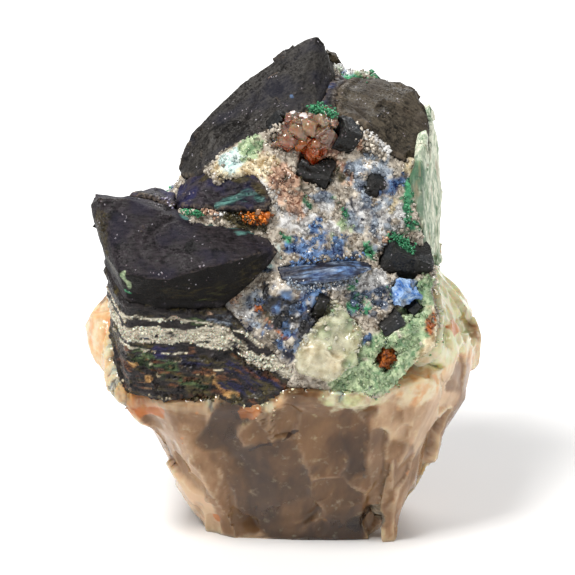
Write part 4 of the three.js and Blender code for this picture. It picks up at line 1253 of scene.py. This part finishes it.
# The quartz's stains and coloured rims, and painted shade for the hollows near the foot: half width,
# strength, places.
QUARTZ_PAINT = {
    "rust": [
        (1.3, 1.0, [(-11.6, -10, 14.2), (-13.2, -8.2, 14.2)]),
        (0.8, 1.1, [(-3.7, -12.5, 14.5), (-2.5, -12.7, 14.7)]),
        (0.5, 0.9, [(-9.6, -11, 14.8), (-7.9, -11.3, 14.9)]),
        (0.16, 1.0, [(-9, -10.7, 11.6), (-9, -10.6, 10.9)]),
        (0.14, 0.9, [(10.6, -8, 6.4), (11.5, -7.4, 6.9)]), (0.4, 0.9, [(-6.3, -7.4, 1.7)]),
        (0.8, 1.1, [(14.6, -6.6, 20), (15.3, -4.4, 19.2)]), (0.4, 0.7, [(-12.4, -9.8, 12.6)]),
    ],
    "cream": [
        (2.6, 1.0, [(-17, -2.5, 18.5), (-15.7, -4.9, 15.5), (-14.4, -6.8, 13.2)]),
        (0.8, 1.0, [(-12.6, -8.4, 12.2)]), (1.0, 0.9, [(-3.2, -12.6, 16), (-0.6, -12.7, 15.8)]),
        (1.8, 0.9, [(11.5, -10.8, 15.8), (14, -9.4, 17.6)]),
        (1.8, 0.9, [(15.5, -4.9, 18.2), (16.4, -2.6, 16.8), (16.9, -1, 15)]),
    ],
    "pale_green": [
        (3.2, 1.0, [(13.9, -9, 20.8), (15.5, -1, 19.6), (14.5, 3, 21)]),
        (1.2, 0.7, [(4, -12.6, 16), (8, -12.1, 15.8)]), (2, 1.0, [(14.2, -4.2, 21.7), (15.6, 1.3, 19.5)]),
        (1.6, 1.0, [(12.3, -8.5, 17.5), (13.5, -9.7, 20)]),
    ],
    # Painted shade, for the hollows beside the leg near the foot.
    "dark": [(0.9, 1.0, [(8.2, -8, 2.7), (6.4, -8.5, 2)]), (0.7, 0.8, [(4.8, -8.9, 1.6)])],
    "crack": [
        (0.2, 1.0, [(-3.2, -11.1, 10.2), (-2.1, -11.5, 11), (-0.9, -11.6, 11.2), (1.2, -12, 12.4)]),
    ],
}
# Where the quartz comes forward to meet the crust: half width, depth (negative where it rises), places.
QUARTZ_RISES = [
    (1.4, -0.4, [(-4.4, -12.4, 15.2), (5, -12.3, 15.8), (8, -12, 15.6)]),
    (1.2, -1.6, [(11, -8.5, 16.6), (12.3, -8.8, 17.4), (12.6, -9.6, 19)]),
    (1.0, -0.7, [(-12, -9.6, 14.6), (-9.6, -10.6, 14.7), (-7.4, -11.2, 14.9), (-5.4, -11.8, 15.1)]),
    (1.7, -1.2, [(-13.4, -7.6, 14.4), (-12.4, -8.6, 12.8)]),
]
VEILS = 160  # tried: those that would break the surface are left out
CREEPING = 2000  # small grains tried, that spread from the crust onto the quartz
# The quartz's colours. Those in pairs run from dark to light. Of the four on one line, the second is
# painted shade for the hollows near the foot and the third a painted highlight along the ridges.
SMOKY, BROWN, PALE = (72, 44, 20), (156, 114, 72), (240, 206, 168)
CREAM_RIM = ((250, 196, 140), (255, 242, 206))
GREEN_RIM = ((232, 238, 184), (255, 250, 214))
RUSTY, HOLLOW_SHADE, RIDGE_HIGHLIGHT, CRACK = (212, 124, 44), (44, 28, 20), (255, 232, 196), (66, 42, 30)
VEIL = ((110, 78, 50), (196, 160, 120))


def quartz_material():
    """Smoky quartz: brown and see-through in the middle, pale at the sides, stained at the rims. The
    facets' tones, and with them the pale sides, are partly the quartz's own colour and partly painted light
    and shade.
    """
    n = Nodes("smoky_quartz")
    mottle = n.noise(1.2, 4)
    cloud = n.rise(n.noise(5, 3, n.along((0.1, 0, 1), 1.5)), 0.3, 0.7)
    shade = n.add(n.rise(cloud, 0, 1, -0.1, 0.1), n.mask("tone"))
    wisps = n.noise(0.9, 7, n.along((0.12, 0.1, 1), 3))
    shade = n.add(n.spread(wisps, 0.35), shade)
    # The tone runs the colour from smoky through brown to pale: partly the quartz's own colour, partly
    # painted light and shade on its facets.
    total = n.mix(n.rise(shade, 0.05, 0.75), SMOKY, BROWN)
    total = n.mix(n.rise(shade, 0.6, 1.15), total, PALE)
    cream = n.mix(n.rise(n.noise(1.2, 5), 0.4, 0.62), *CREAM_RIM)
    frayed = n.spread(n.noise(0.8, 6), 1.6)
    total = n.mix(n.rise(n.add(n.mask("cream"), frayed), 0.1, 1, 0, 0.8), total, cream)
    green = n.mix(n.rise(n.noise(1.4, 5), 0.4, 0.6), *GREEN_RIM)
    total = n.mix(n.rise(n.add(n.mask("pale_green"), frayed), 0.1, 1, 0, 0.9), total, green)
    shown = n.add(shade, n.add(n.mask("cream"), n.mask("pale_green")))
    ragged = n.spread(n.noise(0.4, 4), 0.9)
    total = n.mix(n.rise(n.add(n.mask("rust"), ragged), 0.3, 0.8, 0, 0.9), total, RUSTY)
    # Painted shade: the hollows near the foot are darkened to a deep brown.
    total = n.mix(n.rise(n.add(n.mask("dark"), ragged), 0.4, 1.1, 0, 0.9), total, HOLLOW_SHADE)
    # Painted highlight: ridges are lightened, more on paler facets, as if their thin edges let light
    # through.
    ridge = n.times(n.mask("ridge"), n.rise(shade, 0.3, 0.9, 0, 0.5))
    total = n.mix(ridge, total, RIDGE_HIGHLIGHT)
    total = n.mix(n.rise(n.mask("crack"), 0.5, 0.9), total, CRACK)
    n.set(Base_Color=total, Roughness=n.rise(mottle, 0.35, 0.65, 0.05, 0.2), IOR=1.54,
          Subsurface_Weight=0.8, Subsurface_Radius=(1, 0.66, 0.42), Subsurface_Scale=1.6 * MM,
          Transmission_Weight=n.rise(shown, 0.2, 0.9, 0.55, 0.25), Specular_IOR_Level=0.4,
          Normal=n.bump(n.noise(0.5, 4), 0.02))
    return n.material


def make_veils(skin):
    """Cloudy wavy sheets inside the quartz, where it once cracked and healed."""
    rng = np.random.default_rng(860)
    tree = BVHTree.FromPolygons(skin.points.tolist(), skin.quads.tolist())
    ball = bmesh.new()
    bmesh.ops.create_icosphere(ball, subdivisions=3, radius=1)
    round_points = np.array([vertex.co for vertex in ball.verts])
    round_faces = np.array([[vertex.index for vertex in face.verts] for face in ball.faces])
    ball.free()
    normals = skin.normals()
    points, faces = [], []
    for at in rng.choice(len(skin.points), VEILS):
        middle = skin.points[at] - normals[at] * rng.uniform(0.6, 2.6)
        size = np.array([rng.uniform(0.8, 2.4), 0.05, rng.uniform(1.2, 3.5)])
        round_z = Matrix.Rotation(rng.uniform(0, math.pi), 3, "Z")
        turn = np.array(round_z @ Matrix.Rotation(rng.normal(0, 0.3), 3, "X"))
        sheet = (round_points * size) @ turn.T + middle
        sheet = warped(sheet, 1.4, 0.3, 862)
        if heights(sheet, tree).max() < -0.2:
            faces.append(round_faces + len(points) * len(round_points))
            points.append(sheet)
    n = Nodes("quartz_veils")
    n.set(Base_Color=n.mix(n.noise(0.8, 4), *VEIL), Roughness=0.5, Transmission_Weight=0.5, IOR=1.2)
    mesh = build_mesh("quartz_veils", np.concatenate(points), np.concatenate(faces), {}, True)
    add_piece("quartz_veils", mesh, n.material)


def make_quartz():
    skin = Skin("quartz_base", cell=0.25)
    flat = skin.points.copy()
    skin.push(0.25 * layered(flat, (5, 5, 12), 800, 2))
    skin.crease(QUARTZ_RISES)
    skin.start = skin.points.copy()
    skin.facet(QUARTZ_FACETS, count=260, width=3, length=7, step=0.2, lean=0.2, soft=0.05, seed=810)
    skin.crease(QUARTZ_LINES)
    rims = rise(skin.tone, 0.6, 0.9)
    skin.flake(220, 1.8, 0.22, 820, 0.4, (1, 1, 1.6), where=rims + 0.2, mark=0.1)
    skin.flake(120, 0.7, 0.1, 830, 0.4, where=rims * rise(skin.edges(3), 0, 0.1) + 1e-6, mark=0)
    # Where the ridges are, for their painted highlight.
    skin.masks["ridge"] = rise(skin.edges(3), 0.01, 0.07)
    for name, strokes in QUARTZ_PAINT.items():
        skin.masks[name] = painted(flat, strokes, 0.1 if name == "crack" else 0.5)
    crumbly = np.maximum(skin.masks["cream"], skin.masks["rust"])
    skin.push(0.14 * crumbly * layered(flat, 0.9, 870, 3))
    make_veils(skin)
    near = rise(heights(skin.points, skin.others), 1.6, 0.2) ** 2
    front = rise(skin.points[:, 0], -6, -2)
    spots, _ = scatter(skin, CREEPING, near * front * rise(skin.points[:, 2], 11, 15) + 1e-9, 850)
    spots = spots + np.random.default_rng(851).normal(scale=0.06, size=spots.shape)
    sizes = np.random.default_rng(852).uniform(0.1, 0.26, len(spots))
    green = {"pale_green": rise(spots[:, 0], 0, 4)}
    grain = loose("creeping_grains", ["pale_green"], "cream",
                  Subsurface_Weight=0.3, Subsurface_Scale=0.4 * MM)
    add_grains("creeping_grains", spots, sizes, 853, grain, green)
    skin.make(quartz_material())


make_camera()
make_light()
make_floor()
make_dark_crystals()
make_crust()
make_azurite_lens()
make_coloured_crystals()
make_milky_lump()
make_side_vein()
make_clusters()
make_banded_block()
make_cuprite()
make_quartz()
